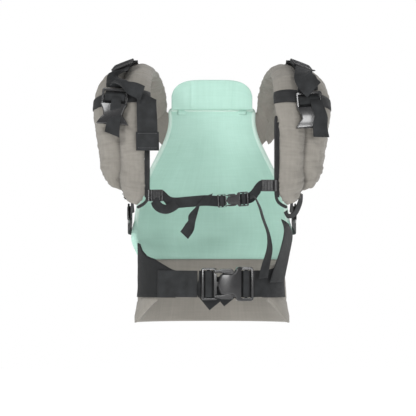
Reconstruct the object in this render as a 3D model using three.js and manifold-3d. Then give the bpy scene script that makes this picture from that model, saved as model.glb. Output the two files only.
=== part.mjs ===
// Soft structured baby carrier in its worn shape, drawn without a wearer.
// Millimetres. +Z is up, +Y is the side where the baby sits, -Y is the wearer's back,
// and the origin is the middle of the wearer's waist at the height of the belt.

import * as THREE from "three";
import { LoftGeometry } from "three/addons/geometries/LoftGeometry.js";
import { mergeVertices } from "three/addons/utils/BufferGeometryUtils.js";
import Module from "manifold-3d";

const wasm = await Module();
wasm.setup();

// ---------------------------------------------------------------- driving dimensions
const GAP = 0.4; // clearance between pieces that rest on each other
const WAIST_HALF_WIDTH = 131; // the wearer's trunk, side to side
const WAIST_HALF_DEPTH = 99; // the wearer's trunk, back to front
const BELT = { width: 50, thick: 2 }; // waist webbing
const STRAP = { width: 38, thick: 1.8 }; // shoulder webbing
const SIDE = { width: 25, thick: 1.6 }; // underarm webbing
const CHEST = { width: 20, thick: 1.5 }; // chest strap webbing
const PAD_THICK = 27; // shoulder pad at the crown of each lobe
const PAD_SKIN = 2.2; // cover round each foam
const BAND_THICK = 13; // waistband foam and cover at the front
const PANEL_LOW = 46;
const PANEL_HIGH = 330;
const PANEL_THICK = 4;
const PANEL_OFF = 16; // panel's inner face from the trunk, at the panel's edges
const HEADREST_TALL = 58;
const HEADREST_THICK = 13;
const PIPING_R = 3;

// Side-release buckles and ladder adjusters: w is the webbing they take, body the length of
// the socket up to its ladder, then the slots, the bar between them and the outer rim.
const WAIST_BUCKLE = { w: 50, body: 45, slot: 6.5, bar: 5.5, rim: 4.5, thick: 13.5, frame: 6.5 };
const SHOULDER_BUCKLE = { w: 38, body: 40, slot: 8, bar: 7, rim: 5, thick: 12, frame: 6, open: 4.2 };
const CHEST_BUCKLE = { w: 20, body: 26, slot: 4, bar: 3.5, rim: 3, thick: 8, frame: 4.5 };
const TOP_ADJUSTER = { w: 38, slot: 4.5, bar: 3.5, rim: 3.2, frame: 4.5 };
const SIDE_ADJUSTER = { w: 25, slot: 4.5, bar: 3.5, rim: 3, frame: 4 };

// ---------------------------------------------------------------- small helpers
const v3 = (x, y, z) => new THREE.Vector3(x, y, z);
const mix = THREE.MathUtils.lerp;
const ease = THREE.MathUtils.smoothstep;
const range = (n) => Array.from({ length: n + 1 }, (_, i) => i / n);

const colours = {
  taupe: 0xa19c94,
  mint: 0xa9cfc0,
  webbing: 0x2e2f31,
  plastic: 0x151617,
  foam: 0xe8e2cf,
};
const finish = {
  taupe: new THREE.MeshStandardMaterial({ color: colours.taupe, roughness: 0.9 }),
  mint: new THREE.MeshStandardMaterial({ color: colours.mint, roughness: 0.9 }),
  webbing: new THREE.MeshStandardMaterial({ color: colours.webbing, roughness: 0.8 }),
  plastic: new THREE.MeshStandardMaterial({ color: colours.plastic, roughness: 0.3 }),
  foam: new THREE.MeshStandardMaterial({ color: colours.foam, roughness: 1 }),
};

const carrier = new THREE.Group();

function add(name, geometry, material, parent = carrier) {
  const mesh = new THREE.Mesh(geometry, finish[material]);
  mesh.name = name;
  parent.add(mesh);
  return mesh;
}

// The left half is the right half mirrored, so both halves share their geometry.
const halves = { right: new THREE.Group(), left: new THREE.Group() };
halves.left.scale.x = -1;
carrier.add(halves.right, halves.left);

function toSolid(geometry) {
  const bare = new THREE.BufferGeometry();
  const source = geometry.index ? geometry.toNonIndexed() : geometry;
  bare.setAttribute("position", source.getAttribute("position"));
  const merged = mergeVertices(bare, 1e-3);
  return new wasm.Manifold(
    new wasm.Mesh({
      numProp: 3,
      vertProperties: merged.attributes.position.array,
      triVerts: new Uint32Array(merged.index.array),
    }),
  );
}

function toGeometry(solid) {
  const mesh = solid.getMesh();
  const geometry = new THREE.BufferGeometry();
  geometry.setAttribute("position", new THREE.BufferAttribute(mesh.vertProperties, 3));
  geometry.setIndex(new THREE.BufferAttribute(mesh.triVerts, 1));
  geometry.computeVertexNormals();
  return geometry;
}

const cut = (body, ...tools) =>
  toGeometry(tools.reduce((left, tool) => left.subtract(toSolid(tool)), toSolid(body)));
const join = (...bodies) => toGeometry(bodies.map(toSolid).reduce((a, b) => a.add(b)));

// A loft closes at both ends; sections that wind the wrong way are turned round.
function loft(sections) {
  const middle = (ring) => ring.reduce((sum, p) => sum.add(p), v3(0, 0, 0)).divideScalar(ring.length);
  const start = middle(sections[0]);
  const normal = v3(0, 0, 0);
  sections[0].forEach((p, i, ring) => {
    const next = ring[(i + 1) % ring.length].clone().sub(start);
    normal.add(p.clone().sub(start).cross(next));
  });
  const rightWay = normal.dot(middle(sections[1]).sub(start)) > 0;
  const rings = rightWay ? sections : sections.map((ring) => [...ring].reverse());
  return new LoftGeometry(rings, { capStart: true, capEnd: true });
}

// ---------------------------------------------------------------- the wearer's trunk
// The trunk is upright at the waist and flares to the hips below and the chest above.
function flare(z) {
  if (z < 0) return 0.0022 * z * z;
  return z > 60 ? 0.00027 * (z - 60) ** 2 : 0;
}

// A point outside the trunk: turn is 0 at the spine and PI at the front.
function aroundTrunk(turn, z, out) {
  const wide = WAIST_HALF_WIDTH + flare(z) + out;
  const deep = WAIST_HALF_DEPTH + flare(z) + out;
  return v3(wide * Math.sin(turn), -deep * Math.cos(turn), z);
}

// A closed section in the upright plane at one turn: inner face upwards, outer face down.
function uprightSection(turn, low, high, inner, thick, rounded, steps) {
  const up = range(steps).map((k) => mix(low, high, k));
  const full = (k) => (rounded ? Math.sqrt(Math.max(0.06, Math.sin(Math.PI * k))) : 1);
  const inside = up.map((z) => aroundTrunk(turn, z, inner));
  const outside = up.map((z, i) => aroundTrunk(turn, z, inner + thick * full(i / steps)));
  return [...inside, ...outside.reverse()];
}

// ---------------------------------------------------------------- flat webbing
// route(t) gives the middle of the webbing and the direction across it.
function ribbon(route, steps, { width, thick }, endWidth = width) {
  const sections = range(steps).map((t) => {
    const [middle, across] = route(t);
    const before = route(Math.max(0, t - 0.01))[0];
    const after = route(Math.min(1, t + 0.01))[0];
    const side = across.clone().normalize();
    const face = after.sub(before).cross(side).normalize().multiplyScalar(thick / 2);
    side.multiplyScalar(mix(width, endWidth, t) / 2);
    return [
      middle.clone().add(side).add(face),
      middle.clone().sub(side).add(face),
      middle.clone().sub(side).sub(face),
      middle.clone().add(side).sub(face),
    ];
  });
  return loft(sections);
}

// A route through hand-placed points; each row is x, y, z and the direction across.
function through(rows, tension = 0.5) {
  const curve = (from) =>
    new THREE.CatmullRomCurve3(
      rows.map((row) => v3(...row.slice(from, from + 3))),
      false,
      from ? "catmullrom" : "centripetal",
      tension,
    );
  const middle = curve(0);
  const across = curve(3);
  return (t) => [middle.getPoint(t), across.getPoint(t)];
}

// A round cord through points.
function cord(points, radius, steps) {
  const round = new THREE.Shape().absarc(0, 0, radius, 0, 2 * Math.PI, false);
  const extrudePath = new THREE.CatmullRomCurve3(points, false, "centripetal");
  return new THREE.ExtrudeGeometry(round, { extrudePath, steps, curveSegments: 5 });
}

// ---------------------------------------------------------------- shoulder pads
// Inner and outer edge of the right pad, from the panel's top corner over the shoulder
// and down the back. The inner edge is upright where the chest strap slides on it.
const EDGE_X = 125;
const EDGE_Y = -117;
const innerEdge = new THREE.CatmullRomCurve3(
  [
    v3(87, 126, 326),
    v3(91, 110, 360),
    v3(100, 70, 390),
    v3(108, 20, 401),
    v3(113, -40, 396),
    v3(116, -88, 374),
    v3(119, -112, 335),
    v3(EDGE_X, EDGE_Y, 290),
    v3(EDGE_X, EDGE_Y, 240),
    v3(EDGE_X, EDGE_Y, 195),
    v3(EDGE_X, EDGE_Y, 165),
    v3(143, -106, 149),
  ],
  false,
  "centripetal",
);
const outerEdge = new THREE.CatmullRomCurve3(
  [
    v3(108, 99, 262),
    v3(148, 80, 318),
    v3(178, 44, 360),
    v3(198, 0, 374),
    v3(209, -34, 371),
    v3(217, -60, 355),
    v3(221, -74, 322),
    v3(216, -79, 280),
    v3(211, -80, 235),
    v3(207, -81, 206),
    v3(186, -90, 180),
    v3(156, -103, 152),
  ],
  false,
  "centripetal",
);

const KEEPER = [0.5, 0.54]; // where along the pad the elastic keeper lies
const PAD_ALONG = [0, 0.1, 0.2, 0.29, 0.37, 0.44, ...KEEPER, 0.62, 0.72, 0.82, 0.9, 0.96, 1];
const PAD_ACROSS = [0, 0.06, 0.25, 0.44, 0.56, 0.75, 0.94, 1];

// Half thickness of the pad across its width: two lobes with a stitched valley between.
function lobes(u) {
  const wave = Math.abs(Math.sin(2 * Math.PI * u));
  return Math.max(0.3 * Math.sin(Math.PI * u), Math.sqrt(wave));
}

// The stitched valley runs down the middle and then straight on to the outer lobe's end.
function acrossShare(t, u) {
  const valley = mix(0.5, 0.68, ease(t, 0.78, 0.93));
  return u < 0.5 ? 2 * u * valley : mix(valley, 1, 2 * u - 1);
}

// The pad is thinner where it is sewn to the panel and closes to a round tip.
function padFullness(t) {
  return mix(0.55, 1, ease(t, 0, 0.2)) * Math.sqrt(Math.max(0.05, 1 - ease(t, 0.86, 1.02)));
}

function padFrame(t) {
  const from = innerEdge.getPoint(t);
  const across = outerEdge.getPoint(t).sub(from);
  const step = (curve) =>
    curve.getPoint(Math.min(1, t + 0.01)).sub(curve.getPoint(Math.max(0, t - 0.01)));
  const along = step(innerEdge).add(step(outerEdge)).normalize();
  const out = along.clone().cross(across).normalize();
  return { from, across, along, out };
}

// A point on the pad: u runs across, lift is the height over the pad's middle surface.
function onPad(t, u, lift) {
  const { from, across, out } = padFrame(t);
  const crown = 0.09 * across.length() * (1 - (2 * u - 1) ** 2);
  return from.addScaledVector(across, u).addScaledVector(out, crown + lift);
}

// One section of the pad, grown or shrunk evenly by a distance.
function padSection(t, grow) {
  const wide = padFrame(t).across.length();
  const half = (u) => (PAD_THICK / 2) * padFullness(t) * lobes(u);
  const place = (u, sign) => {
    const thin = Math.max(0.4, half(u) + grow);
    return onPad(t, 0.5 + (acrossShare(t, u) - 0.5) * (1 + (2 * grow) / wide), sign * thin);
  };
  const top = PAD_ACROSS.map((u) => place(u, 1));
  const under = PAD_ACROSS.slice(1, -1).map((u) => place(u, -1));
  return [...top, ...under.reverse()];
}

const padSections = (along, grow) => along.map((t) => padSection(t, grow));

// The foam goes in through the cover's open front end, where it is sewn to the panel.
function padCover() {
  const inside = padSections(PAD_ALONG.slice(0, -1), -PAD_SKIN);
  const mouth = inside[0].map((p) => p.clone().addScaledVector(padFrame(0).along, -4));
  return cut(loft(padSections(PAD_ALONG, 0)), loft([mouth, ...inside]));
}
const padFoam = () => loft(padSections(PAD_ALONG.slice(0, -2), -PAD_SKIN - GAP));

// The rail that the chest strap slides on: a cord beside the pad's inner edge, straight
// between two heights.
const RAIL = { x: 119, y: -119.5, low: 154, high: 300 };
function rail() {
  const { x, y, low, high } = RAIL;
  const straight = range(4).map((k) => v3(x, y, mix(high, low, k)));
  const tail = [v3(x + 3, y + 1, low - 7), v3(x + 10, y + 4, low - 11), v3(x + 18, y + 8, low - 14)];
  return cord([v3(x + 1, y + 2, high + 14), ...straight, ...tail], PIPING_R, 22);
}

// The elastic keeper goes all the way round the pad.
function elasticKeeper() {
  const hole = padSections(KEEPER, GAP);
  const push = (ring, t, far) => ring.map((p) => p.clone().addScaledVector(padFrame(t).along, far));
  const longer = [push(hole[0], KEEPER[0], -6), ...hole, push(hole[1], KEEPER[1], 6)];
  return cut(loft(padSections(KEEPER, GAP + 1.8)), loft(longer));
}

// ---------------------------------------------------------------- buckles
// Every buckle is drawn round its mouth: X runs into the socket, Z out of its face.
const ladderLength = ({ slot, bar, rim }) => 2 * slot + bar + rim;
const cavityHalf = ({ thick, open = thick * 0.27 }) => open;

function slab(shape, thick, bevel = 0) {
  const geometry = new THREE.ExtrudeGeometry(shape, {
    depth: thick - 2 * bevel,
    bevelEnabled: bevel > 0,
    bevelThickness: bevel,
    bevelSize: bevel,
    bevelOffset: -bevel,
    bevelSegments: 1,
    curveSegments: 4,
  });
  return geometry.translate(0, 0, -thick / 2 + bevel);
}

// A box from x0 to x1, symmetric in Y, between two heights.
function block(x0, x1, halfY, z0, z1) {
  const geometry = new THREE.BoxGeometry(Math.abs(x1 - x0), 2 * halfY, z1 - z0);
  return geometry.translate((x0 + x1) / 2, 0, (z0 + z1) / 2);
}

// Cutters for a ladder that starts at x and runs towards way: two slots, and the top of
// the bar between them taken off so the webbing over it stays inside the frame.
function ladderCutters({ w, slot, bar, frame }, x, way) {
  const half = w / 2 + 1.2;
  const at = (d) => x + way * d;
  return [
    block(at(0), at(slot), half, -frame, frame),
    block(at(slot + bar), at(2 * slot + bar), half, -frame, frame),
    block(at(slot - 0.1), at(slot + bar + 0.1), half, frame * 0.18, frame),
  ];
}

// Half of a socket's outline, from the middle of its mouth to the middle of its far end.
function socketOutline(spec, flared) {
  const { w, body } = spec;
  const end = body + ladderLength(spec);
  const high = 0.62 * w + 1;
  const corner = 0.12 * w;
  const shape = new THREE.Shape();
  if (flared) {
    shape.moveTo(0, 0);
    shape.lineTo(0, -0.8 * w);
    shape.quadraticCurveTo(0.3 * w, -0.62 * w, 0.42 * body, -0.47 * w);
    shape.quadraticCurveTo(0.7 * body, -0.5 * w, 0.92 * body, -high);
  } else {
    shape.moveTo(0, 0);
    shape.quadraticCurveTo(0.02 * w, -0.2 * w, 0.14 * w, -0.37 * w);
    shape.lineTo(0.56 * body, -0.37 * w);
    shape.quadraticCurveTo(0.72 * body, -0.38 * w, 0.78 * body, -0.56 * w);
    shape.quadraticCurveTo(0.8 * body, -high, 0.92 * body, -high);
  }
  shape.lineTo(end - corner, -high);
  shape.quadraticCurveTo(end, -high, end, -high + corner);
  const half = shape.getPoints(4);
  const other = half.map((p) => new THREE.Vector2(p.x, -p.y)).reverse();
  return new THREE.Shape([...half, ...other.slice(0, -1)]);
}

// Socket: open mouth, side windows for the prongs' buttons, ladder for its webbing.
function socket(spec, flared = false) {
  const { w, body, thick, frame } = spec;
  const end = body + ladderLength(spec);
  const inside = cavityHalf(spec);
  const wide = flared ? 0.4 * w : 0.52 * w;
  return cut(
    slab(socketOutline(spec, flared), thick, 0.03 * w),
    block(body - 1, end + 1, w, frame / 2, thick),
    block(body - 1, end + 1, w, -thick, -frame / 2),
    block(-1, 0.86 * body, wide, -inside, inside),
    ...ladderCutters(spec, body, 1),
  );
}

// Plug: ladder, cross bar and centre guide. The prongs are separate and flex at its ends.
const PIVOT = { x: 0.07, y: 0.47, r: 0.055 }; // times the webbing's width
function plug(spec) {
  const { w, frame } = spec;
  const start = -0.15 * w;
  const end = start - ladderLength(spec);
  const high = 0.6 * w;
  const side = new THREE.Shape();
  side.moveTo(-0.01 * w, 0);
  side.lineTo(-0.01 * w, -0.57 * w);
  side.quadraticCurveTo(-0.1 * w, -high, -0.2 * w, -high);
  side.lineTo(end + 0.1 * w, -high);
  side.quadraticCurveTo(end, -high, end, -high + 0.1 * w);
  side.lineTo(end, 0);
  const half = side.getPoints(3);
  const other = half.slice(1, -1).map((p) => new THREE.Vector2(p.x, -p.y));
  const outline = new THREE.Shape([...half, ...other.reverse()]);
  const seats = [1, -1].flatMap((way) => {
    const hollow = PIVOT.r * w + GAP;
    const round = new THREE.CylinderGeometry(hollow, hollow, w, 12).rotateX(Math.PI / 2);
    const move = (g) => g.translate(0, way * PIVOT.y * w, 0);
    return [
      move(round.translate(-PIVOT.x * w, 0, 0)),
      move(block(-PIVOT.x * w, w, hollow + 0.02 * w, -w, w)),
    ];
  });
  const guide = new THREE.Shape();
  guide.moveTo(-0.05 * w, -0.08 * w);
  guide.lineTo(0.5 * w, -0.06 * w);
  guide.lineTo(0.54 * w, 0);
  guide.lineTo(0.5 * w, 0.06 * w);
  guide.lineTo(-0.05 * w, 0.08 * w);
  const frameSolid = cut(slab(outline, frame, 0.02 * w), ...seats, ...ladderCutters(spec, start, -1));
  return join(frameSolid, slab(guide, 2 * cavityHalf(spec) - 2 * GAP));
}

// One prong of the plug, drawn on the +Y side, with its thumb button in the window.
function prong(spec) {
  const { w, body } = spec;
  const { x, y, r } = PIVOT;
  const shape = new THREE.Shape();
  shape.moveTo(-x * w, (y - r) * w);
  shape.lineTo(0.1 * w, (y - r) * w);
  shape.lineTo(0.55 * body, 0.33 * w);
  shape.lineTo(0.74 * body, 0.34 * w);
  shape.lineTo(0.8 * body, 0.4 * w);
  shape.lineTo(0.74 * body, 0.46 * w);
  shape.lineTo(0.68 * body, 0.47 * w);
  shape.quadraticCurveTo(0.66 * body, 0.56 * w, 0.54 * body, 0.57 * w);
  shape.lineTo(0.22 * body, 0.57 * w);
  shape.quadraticCurveTo(0.12 * body, 0.56 * w, 0.08 * body, (y + r) * w);
  shape.lineTo(-x * w, (y + r) * w);
  shape.absarc(-x * w, y * w, r * w, Math.PI / 2, 1.5 * Math.PI, false);
  return slab(shape, 2 * cavityHalf(spec) - 2 * GAP, 0.012 * w);
}

// Two-slot adjuster that stands alone, centred on its bar; X runs along the webbing.
function adjuster(spec) {
  const { w, slot, bar, rim, frame } = spec;
  const half = bar / 2 + slot + rim;
  const high = w / 2 + 1.2 + rim;
  const round = 0.7 * rim;
  const shape = new THREE.Shape();
  shape.moveTo(-half + round, -high);
  shape.lineTo(half - round, -high);
  shape.quadraticCurveTo(half, -high, half, -high + round);
  shape.lineTo(half, high - round);
  shape.quadraticCurveTo(half, high, half - round, high);
  shape.lineTo(-half + round, high);
  shape.quadraticCurveTo(-half, high, -half, high - round);
  shape.lineTo(-half, -high + round);
  shape.quadraticCurveTo(-half, -high, -half + round, -high);
  return cut(slab(shape, frame, 0.8), ...ladderCutters(spec, -bar / 2 - slot, 1));
}

// Rows of a webbing that comes under a frame, goes up through the first slot of a ladder,
// over its bar, down the second slot and under the frame again.
function overBar({ slot, bar, frame }, x, way, { thick }) {
  const low = -frame / 2 - GAP - thick / 2;
  const high = frame * 0.18 + GAP + thick / 2;
  const row = (d, z) => [x + way * d, 0, z, 0, 1, 0];
  return [
    row(0, low),
    row(slot * 0.34, low + 0.35),
    row(slot * 0.66, high - 0.35),
    row(slot + bar / 2, high),
    row(slot * 1.34 + bar, high - 0.35),
    row(slot * 1.66 + bar, low + 0.35),
    row(2 * slot + bar, low),
  ];
}
const under = ({ frame }, { thick }) => -frame / 2 - GAP - thick / 2;

// A frame that stands a piece up: its own X and Z given as directions in the whole part.
function stand(position, alongX, faceZ, parent = carrier) {
  const x = v3(...alongX).normalize();
  const y = v3(...faceZ).cross(x).normalize();
  const z = x.clone().cross(y);
  const group = new THREE.Group();
  group.applyMatrix4(new THREE.Matrix4().makeBasis(x, y, z).setPosition(...position));
  parent.add(group);
  return group;
}

// ---------------------------------------------------------------- front panel
// Half of the panel's turn round the trunk at a share of its height.
const panelTurn = (k) => mix(1.36, 0.5, ease(k, 0.12, 0.96));

// A point on the panel's inner face: u runs from side to side and k from bottom to top.
function onPanel(u, k, lift) {
  const z = mix(PANEL_LOW, PANEL_HIGH, k);
  const belly = 24 * Math.sin(Math.PI * Math.min(1, k * 1.05)) * (1 - u * u);
  const off = mix(4, PANEL_OFF, ease(k, 0, 0.16));
  return aroundTrunk(Math.PI - u * panelTurn(k), z, off + belly + lift);
}

function frontPanel() {
  const across = range(10).map((k) => 2 * k - 1);
  const sections = range(10).map((k) => [
    ...across.map((u) => onPanel(u, k, 0)),
    ...across.map((u) => onPanel(u, k, PANEL_THICK)).reverse(),
  ]);
  return loft(sections);
}

// A padded roll along the side of the seat, where the baby's thigh bears.
function legRoll(side) {
  const radius = 6.5;
  const points = range(8).map((k) => {
    const height = mix(0.02, 0.26, k);
    const edge = onPanel(side, height, 2);
    const inside = onPanel(side * 0.97, height, 2);
    return edge.addScaledVector(edge.clone().sub(inside).normalize(), radius + 1.2);
  });
  return cord(points, radius, 8);
}

// Head support above the panel: it stands up at rest and folds outwards and down.
function headrest(grow) {
  const base = onPanel(0, 1, PANEL_THICK).y;
  const sections = range(10).map((k) => {
    const u = 2 * k - 1;
    const roundOff = Math.sqrt(Math.max(0.02, 1 - Math.abs(u) ** 4));
    const tall = (HEADREST_TALL + grow) * (0.35 + 0.65 * roundOff);
    const low = PANEL_HIGH + 1 - grow;
    const x = (78 + grow) * u;
    const back = base - 0.0042 * x * x;
    const half = (HEADREST_THICK / 2 + grow) * (0.45 + 0.55 * roundOff);
    const middle = back - HEADREST_THICK / 2;
    return range(11)
      .slice(0, -1)
      .map((s) => {
        const angle = 2 * Math.PI * s;
        const z = low + (tall / 2) * (1 + Math.cos(angle));
        const puff = Math.sign(Math.sin(angle)) * Math.sqrt(Math.abs(Math.sin(angle)));
        return v3(x, middle + half * puff, z);
      });
  });
  return loft(sections);
}

// ---------------------------------------------------------------- waistband
const BAND_END = 0.86; // turn at which the padded waistband stops, short of the spine
const BAND_SKIN = 1.5;
const BAND_TURNS = range(24).map((k) => mix(BAND_END, 2 * Math.PI - BAND_END, k));
const BAND_SHAPE = [
  [0, 0.3],
  [0.1, 0.75],
  [0.5, 1],
  [0.9, 0.75],
  [1, 0.3],
]; // share of the height, share of the full thickness

// An upright section of the waistband, shrunk evenly by a distance.
function bandSection(turn, shrink) {
  const mirrored = Math.min(turn, 2 * Math.PI - turn);
  const high = mix(34, 44, ease(mirrored, BAND_END, 1.5)) - 5 * shrink;
  const low = mix(-28, -75, ease(mirrored, BAND_END - 0.12, 1.45)) + 5 * shrink;
  const thick = mix(8, BAND_THICK, ease(mirrored, 1.4, 2.6));
  const face = (full) => Math.max(1 + shrink + 0.3, 1 + thick * full - shrink);
  const inside = BAND_SHAPE.map(([k]) => aroundTrunk(turn, mix(low, high, k), 1 + shrink));
  const outside = BAND_SHAPE.map(([k, full]) => aroundTrunk(turn, mix(low, high, k), face(full)));
  return [...inside, ...outside.reverse()];
}

function waistCover() {
  const open = [...BAND_TURNS.slice(1), 2 * Math.PI - BAND_END + 0.06];
  return cut(
    loft(BAND_TURNS.map((turn) => bandSection(turn, 0))),
    loft(open.map((turn) => bandSection(turn, BAND_SKIN))),
  );
}
const waistFoam = () =>
  loft(BAND_TURNS.slice(2, -1).map((turn) => bandSection(turn, BAND_SKIN + 2 * GAP)));

// A flat reinforcement sewn on the waistband's end, round the trunk between two turns.
const WING_OUT = 1 + 8 + 2 * GAP;
const WING_THICK = 1.6;
function wing(first, last, topAt) {
  const sections = range(12).map((k) => {
    const turn = mix(first, last, k);
    const low = -BELT.width / 2 - 1;
    const ring = (out) => range(3).map((s) => aroundTrunk(turn, mix(low, topAt(turn), s), out));
    return [...ring(WING_OUT), ...ring(WING_OUT + WING_THICK).reverse()];
  });
  return loft(sections);
}
const BELT_OUT = WING_OUT + WING_THICK + GAP + BELT.thick / 2;

// Rows of belt webbing lying on the wings, between two turns.
function beltRows(first, last, out = BELT_OUT) {
  return range(5).map((k) => {
    const turn = mix(first, last, k);
    const top = aroundTrunk(turn, BELT.width / 2, out);
    const low = aroundTrunk(turn, -BELT.width / 2, out);
    const middle = top.clone().add(low).divideScalar(2);
    return [...middle.toArray(), ...top.sub(low).toArray()];
  });
}

// ================================================================ assembly
// Front panel with padded thigh rolls and a folding head support.
add("front_panel", frontPanel(), "mint");
add("right_leg_roll", legRoll(1), "mint");
add("left_leg_roll", legRoll(-1), "mint");
add("headrest", headrest(0), "mint");

// Waistband: foam in a cover that is open at one end, and a wing on each end.
const leftWingTop = (turn) => 26 + 23 * ease(turn, 0.5, 0.86) + 26 * ease(turn, 1.06, 1.34);
const rightWingTop = (turn) => 26 + 8 * ease(turn, 0.8, 1.2);
add("waistband_cover", waistCover(), "taupe");
add("waistband_foam", waistFoam(), "foam");
add("right_wing", wing(0.72, 1.3, rightWingTop), "webbing");
add("left_wing", wing(0.5, 1.42, leftWingTop), "webbing", halves.left);

// Waist buckle. The plug is at the wearer's left; the socket draws off to the right.
const TILT = 0.152; // the buckle leans a little round the back
const waist = stand([10, -121, 0], [1, TILT, 0], [TILT, -1, 0]);
waist.updateMatrix();
const inWaist = (x, z) => v3(x, 0, z).applyMatrix4(waist.matrix);
add("waist_socket", socket(WAIST_BUCKLE), "plastic", waist);
add("waist_plug", plug(WAIST_BUCKLE), "plastic", waist);
add("waist_prong_upper", prong(WAIST_BUCKLE), "plastic", waist);
add("waist_prong_lower", prong(WAIST_BUCKLE), "plastic", waist).rotation.x = Math.PI;

// Belt webbing: fixed to each wing. The left run passes over the plug's bar; the right run
// ends under the socket, whose own loop is drawn apart because it moves with the socket.
const plugStart = -0.15 * WAIST_BUCKLE.w;
const plugEnd = plugStart - ladderLength(WAIST_BUCKLE);
const plugRows = overBar(WAIST_BUCKLE, plugStart, -1, BELT)
  .map(([x, , z]) => [...inWaist(x, z).toArray(), 0, 0, 1]);
const beltUnder = under(WAIST_BUCKLE, BELT);
const besidePlug = [-5, 0.5].map((far) => [
  ...inWaist(plugEnd + far, beltUnder - 0.1).toArray(),
  ...[0, 0, 1],
]);
const leftRows = [...beltRows(-0.78, -0.36), ...besidePlug, ...plugRows.reverse()];
add("left_waist_webbing", ribbon(through(leftRows), 40, BELT), "webbing");

const socketEnd = WAIST_BUCKLE.body + ladderLength(WAIST_BUCKLE);
const loopRows = [
  ...overBar(WAIST_BUCKLE, WAIST_BUCKLE.body, 1, BELT),
  [socketEnd + 4, 0, beltUnder, 0, 1, 0],
];
add("waist_socket_loop", ribbon(through(loopRows), 24, BELT), "webbing", waist);
const underSocket = [...inWaist(socketEnd - 8, beltUnder - 5).toArray(), 0, 0, 1];
const rightRows = [underSocket, ...beltRows(0.72, 1.2)];
add("right_waist_webbing", ribbon(through(rightRows), 16, BELT), "webbing");

// Loose ends of the belt: two tucked behind the plug, and one standing up at the right.
const tucked = (x, z, depth) =>
  ribbon(
    through([
      [x + 40, z + 32, depth, -0.63, 0.77, 0],
      [x + 20, z + 16, depth, -0.63, 0.77, 0],
      [x, z, depth, -0.63, 0.77, 0],
    ]),
    3,
    BELT,
  );
add("waist_tail_long", tucked(-28, -30, -17.3), "webbing", waist);
add("waist_tail_short", tucked(0, -23, -19.8), "webbing", waist);
const standing = through([
  [...aroundTrunk(1.12, 4, BELT_OUT + 4).toArray(), 0.5, 0.86, 0],
  [...aroundTrunk(1.14, 34, BELT_OUT + 5).toArray(), 0.48, 0.87, 0.1],
  [140, -48, 70, 0.42, 0.9, 0.12],
  [144, -48, 98, 0.32, 0.93, -0.1],
  [138, -50, 116, 0.3, 0.94, -0.2],
]);
add("right_waist_tail", ribbon(standing, 12, BELT), "webbing");

// Shoulder pads with foam inside, the rail on the inner edge and the elastic keeper.
const PAD_PARTS = [
  ["shoulder_pad_cover", padCover(), "taupe"],
  ["shoulder_pad_foam", padFoam(), "foam"],
  ["rail", rail(), "webbing"],
  ["elastic_keeper", elasticKeeper(), "webbing"],
];
for (const [side, parent] of Object.entries(halves)) {
  for (const [name, geometry, material] of PAD_PARTS) {
    add(`${side}_${name}`, geometry, material, parent);
  }
}

// Strap adjuster on top of each shoulder. Its own turn of webbing slides along with it,
// over the shoulder webbing that runs from the pad's front to the socket behind.
const TOP = { at: [168, -66, 411], along: [0.4, -0.76, -0.51], face: [0.5, -0.28, 0.82] };
const SOCKET_AT = [186, -129, 292];
const onTop = (t, u, lift) => {
  const point = onPad(t, u, (PAD_THICK / 2) * padFullness(t) + lift);
  return [...point.toArray(), ...padFrame(t).across.normalize().toArray()];
};

function shoulderHardware(side, parent, raise) {
  const top = stand(TOP.at, TOP.along, TOP.face, parent);
  const under1 = under(TOP_ADJUSTER, STRAP);
  const start = -TOP_ADJUSTER.bar / 2 - TOP_ADJUSTER.slot;
  add(`${side}_top_adjuster`, adjuster(TOP_ADJUSTER), "plastic", top);
  const turn = overBar(TOP_ADJUSTER, start, 1, STRAP);
  add(`${side}_adjuster_webbing`, ribbon(through(turn), 14, STRAP), "webbing", top);

  const [x, y, z] = SOCKET_AT;
  const hanging = stand([x, y, z + raise], [-0.09, 0.12, 0.985], [0.12, -0.98, 0.13], parent);
  const loop = overBar(SHOULDER_BUCKLE, SHOULDER_BUCKLE.body, 1, STRAP);
  add(`${side}_shoulder_socket`, socket(SHOULDER_BUCKLE, true), "plastic", hanging);
  add(`${side}_socket_webbing`, ribbon(through(loop), 14, STRAP), "webbing", hanging);

  const place = (group, px, pz) => {
    group.updateMatrix();
    const across = v3(0, -1, 0).transformDirection(group.matrix);
    return [...v3(px, 0, pz).applyMatrix4(group.matrix).toArray(), ...across.toArray()];
  };
  const layer = under1 - STRAP.thick - GAP;
  const end = SHOULDER_BUCKLE.body + ladderLength(SHOULDER_BUCKLE);
  const rows = [
    ...[0.04, 0.12, 0.2, 0.27].map((t) => onTop(t, 0.47, 2)),
    ...[-16, -8, 0, 8, 16, 22].map((along) => place(top, along, layer)),
    place(hanging, end + 14, under(SHOULDER_BUCKLE, STRAP) + 4),
    place(hanging, end + 2, under(SHOULDER_BUCKLE, STRAP)),
  ];
  add(`${side}_shoulder_webbing`, ribbon(through(rows), 30, STRAP), "webbing", parent);

  const over = SHOULDER_BUCKLE.thick / 2 + GAP + 1.2;
  const aside = side === "left" ? -1 : 3.4;
  const tail = [
    [50, -4 * aside, 5, 0, 1, 0],
    [40, -4 * aside, over + 1, 0.1, 1, 0],
    [18, -4 * aside, over, 0.06, 1, 0],
    [-4, -4 * aside - 1, over, 0.03, 1, 0],
    [-24, -4 * aside - 1, over - 2, 0, 1, 0],
  ];
  const short = { width: 24, thick: STRAP.thick };
  add(`${side}_short_tail`, ribbon(through(tail), 10, short, 30), "webbing", hanging);
}
shoulderHardware("right", halves.right, 0);
shoulderHardware("left", halves.left, 6);

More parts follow.
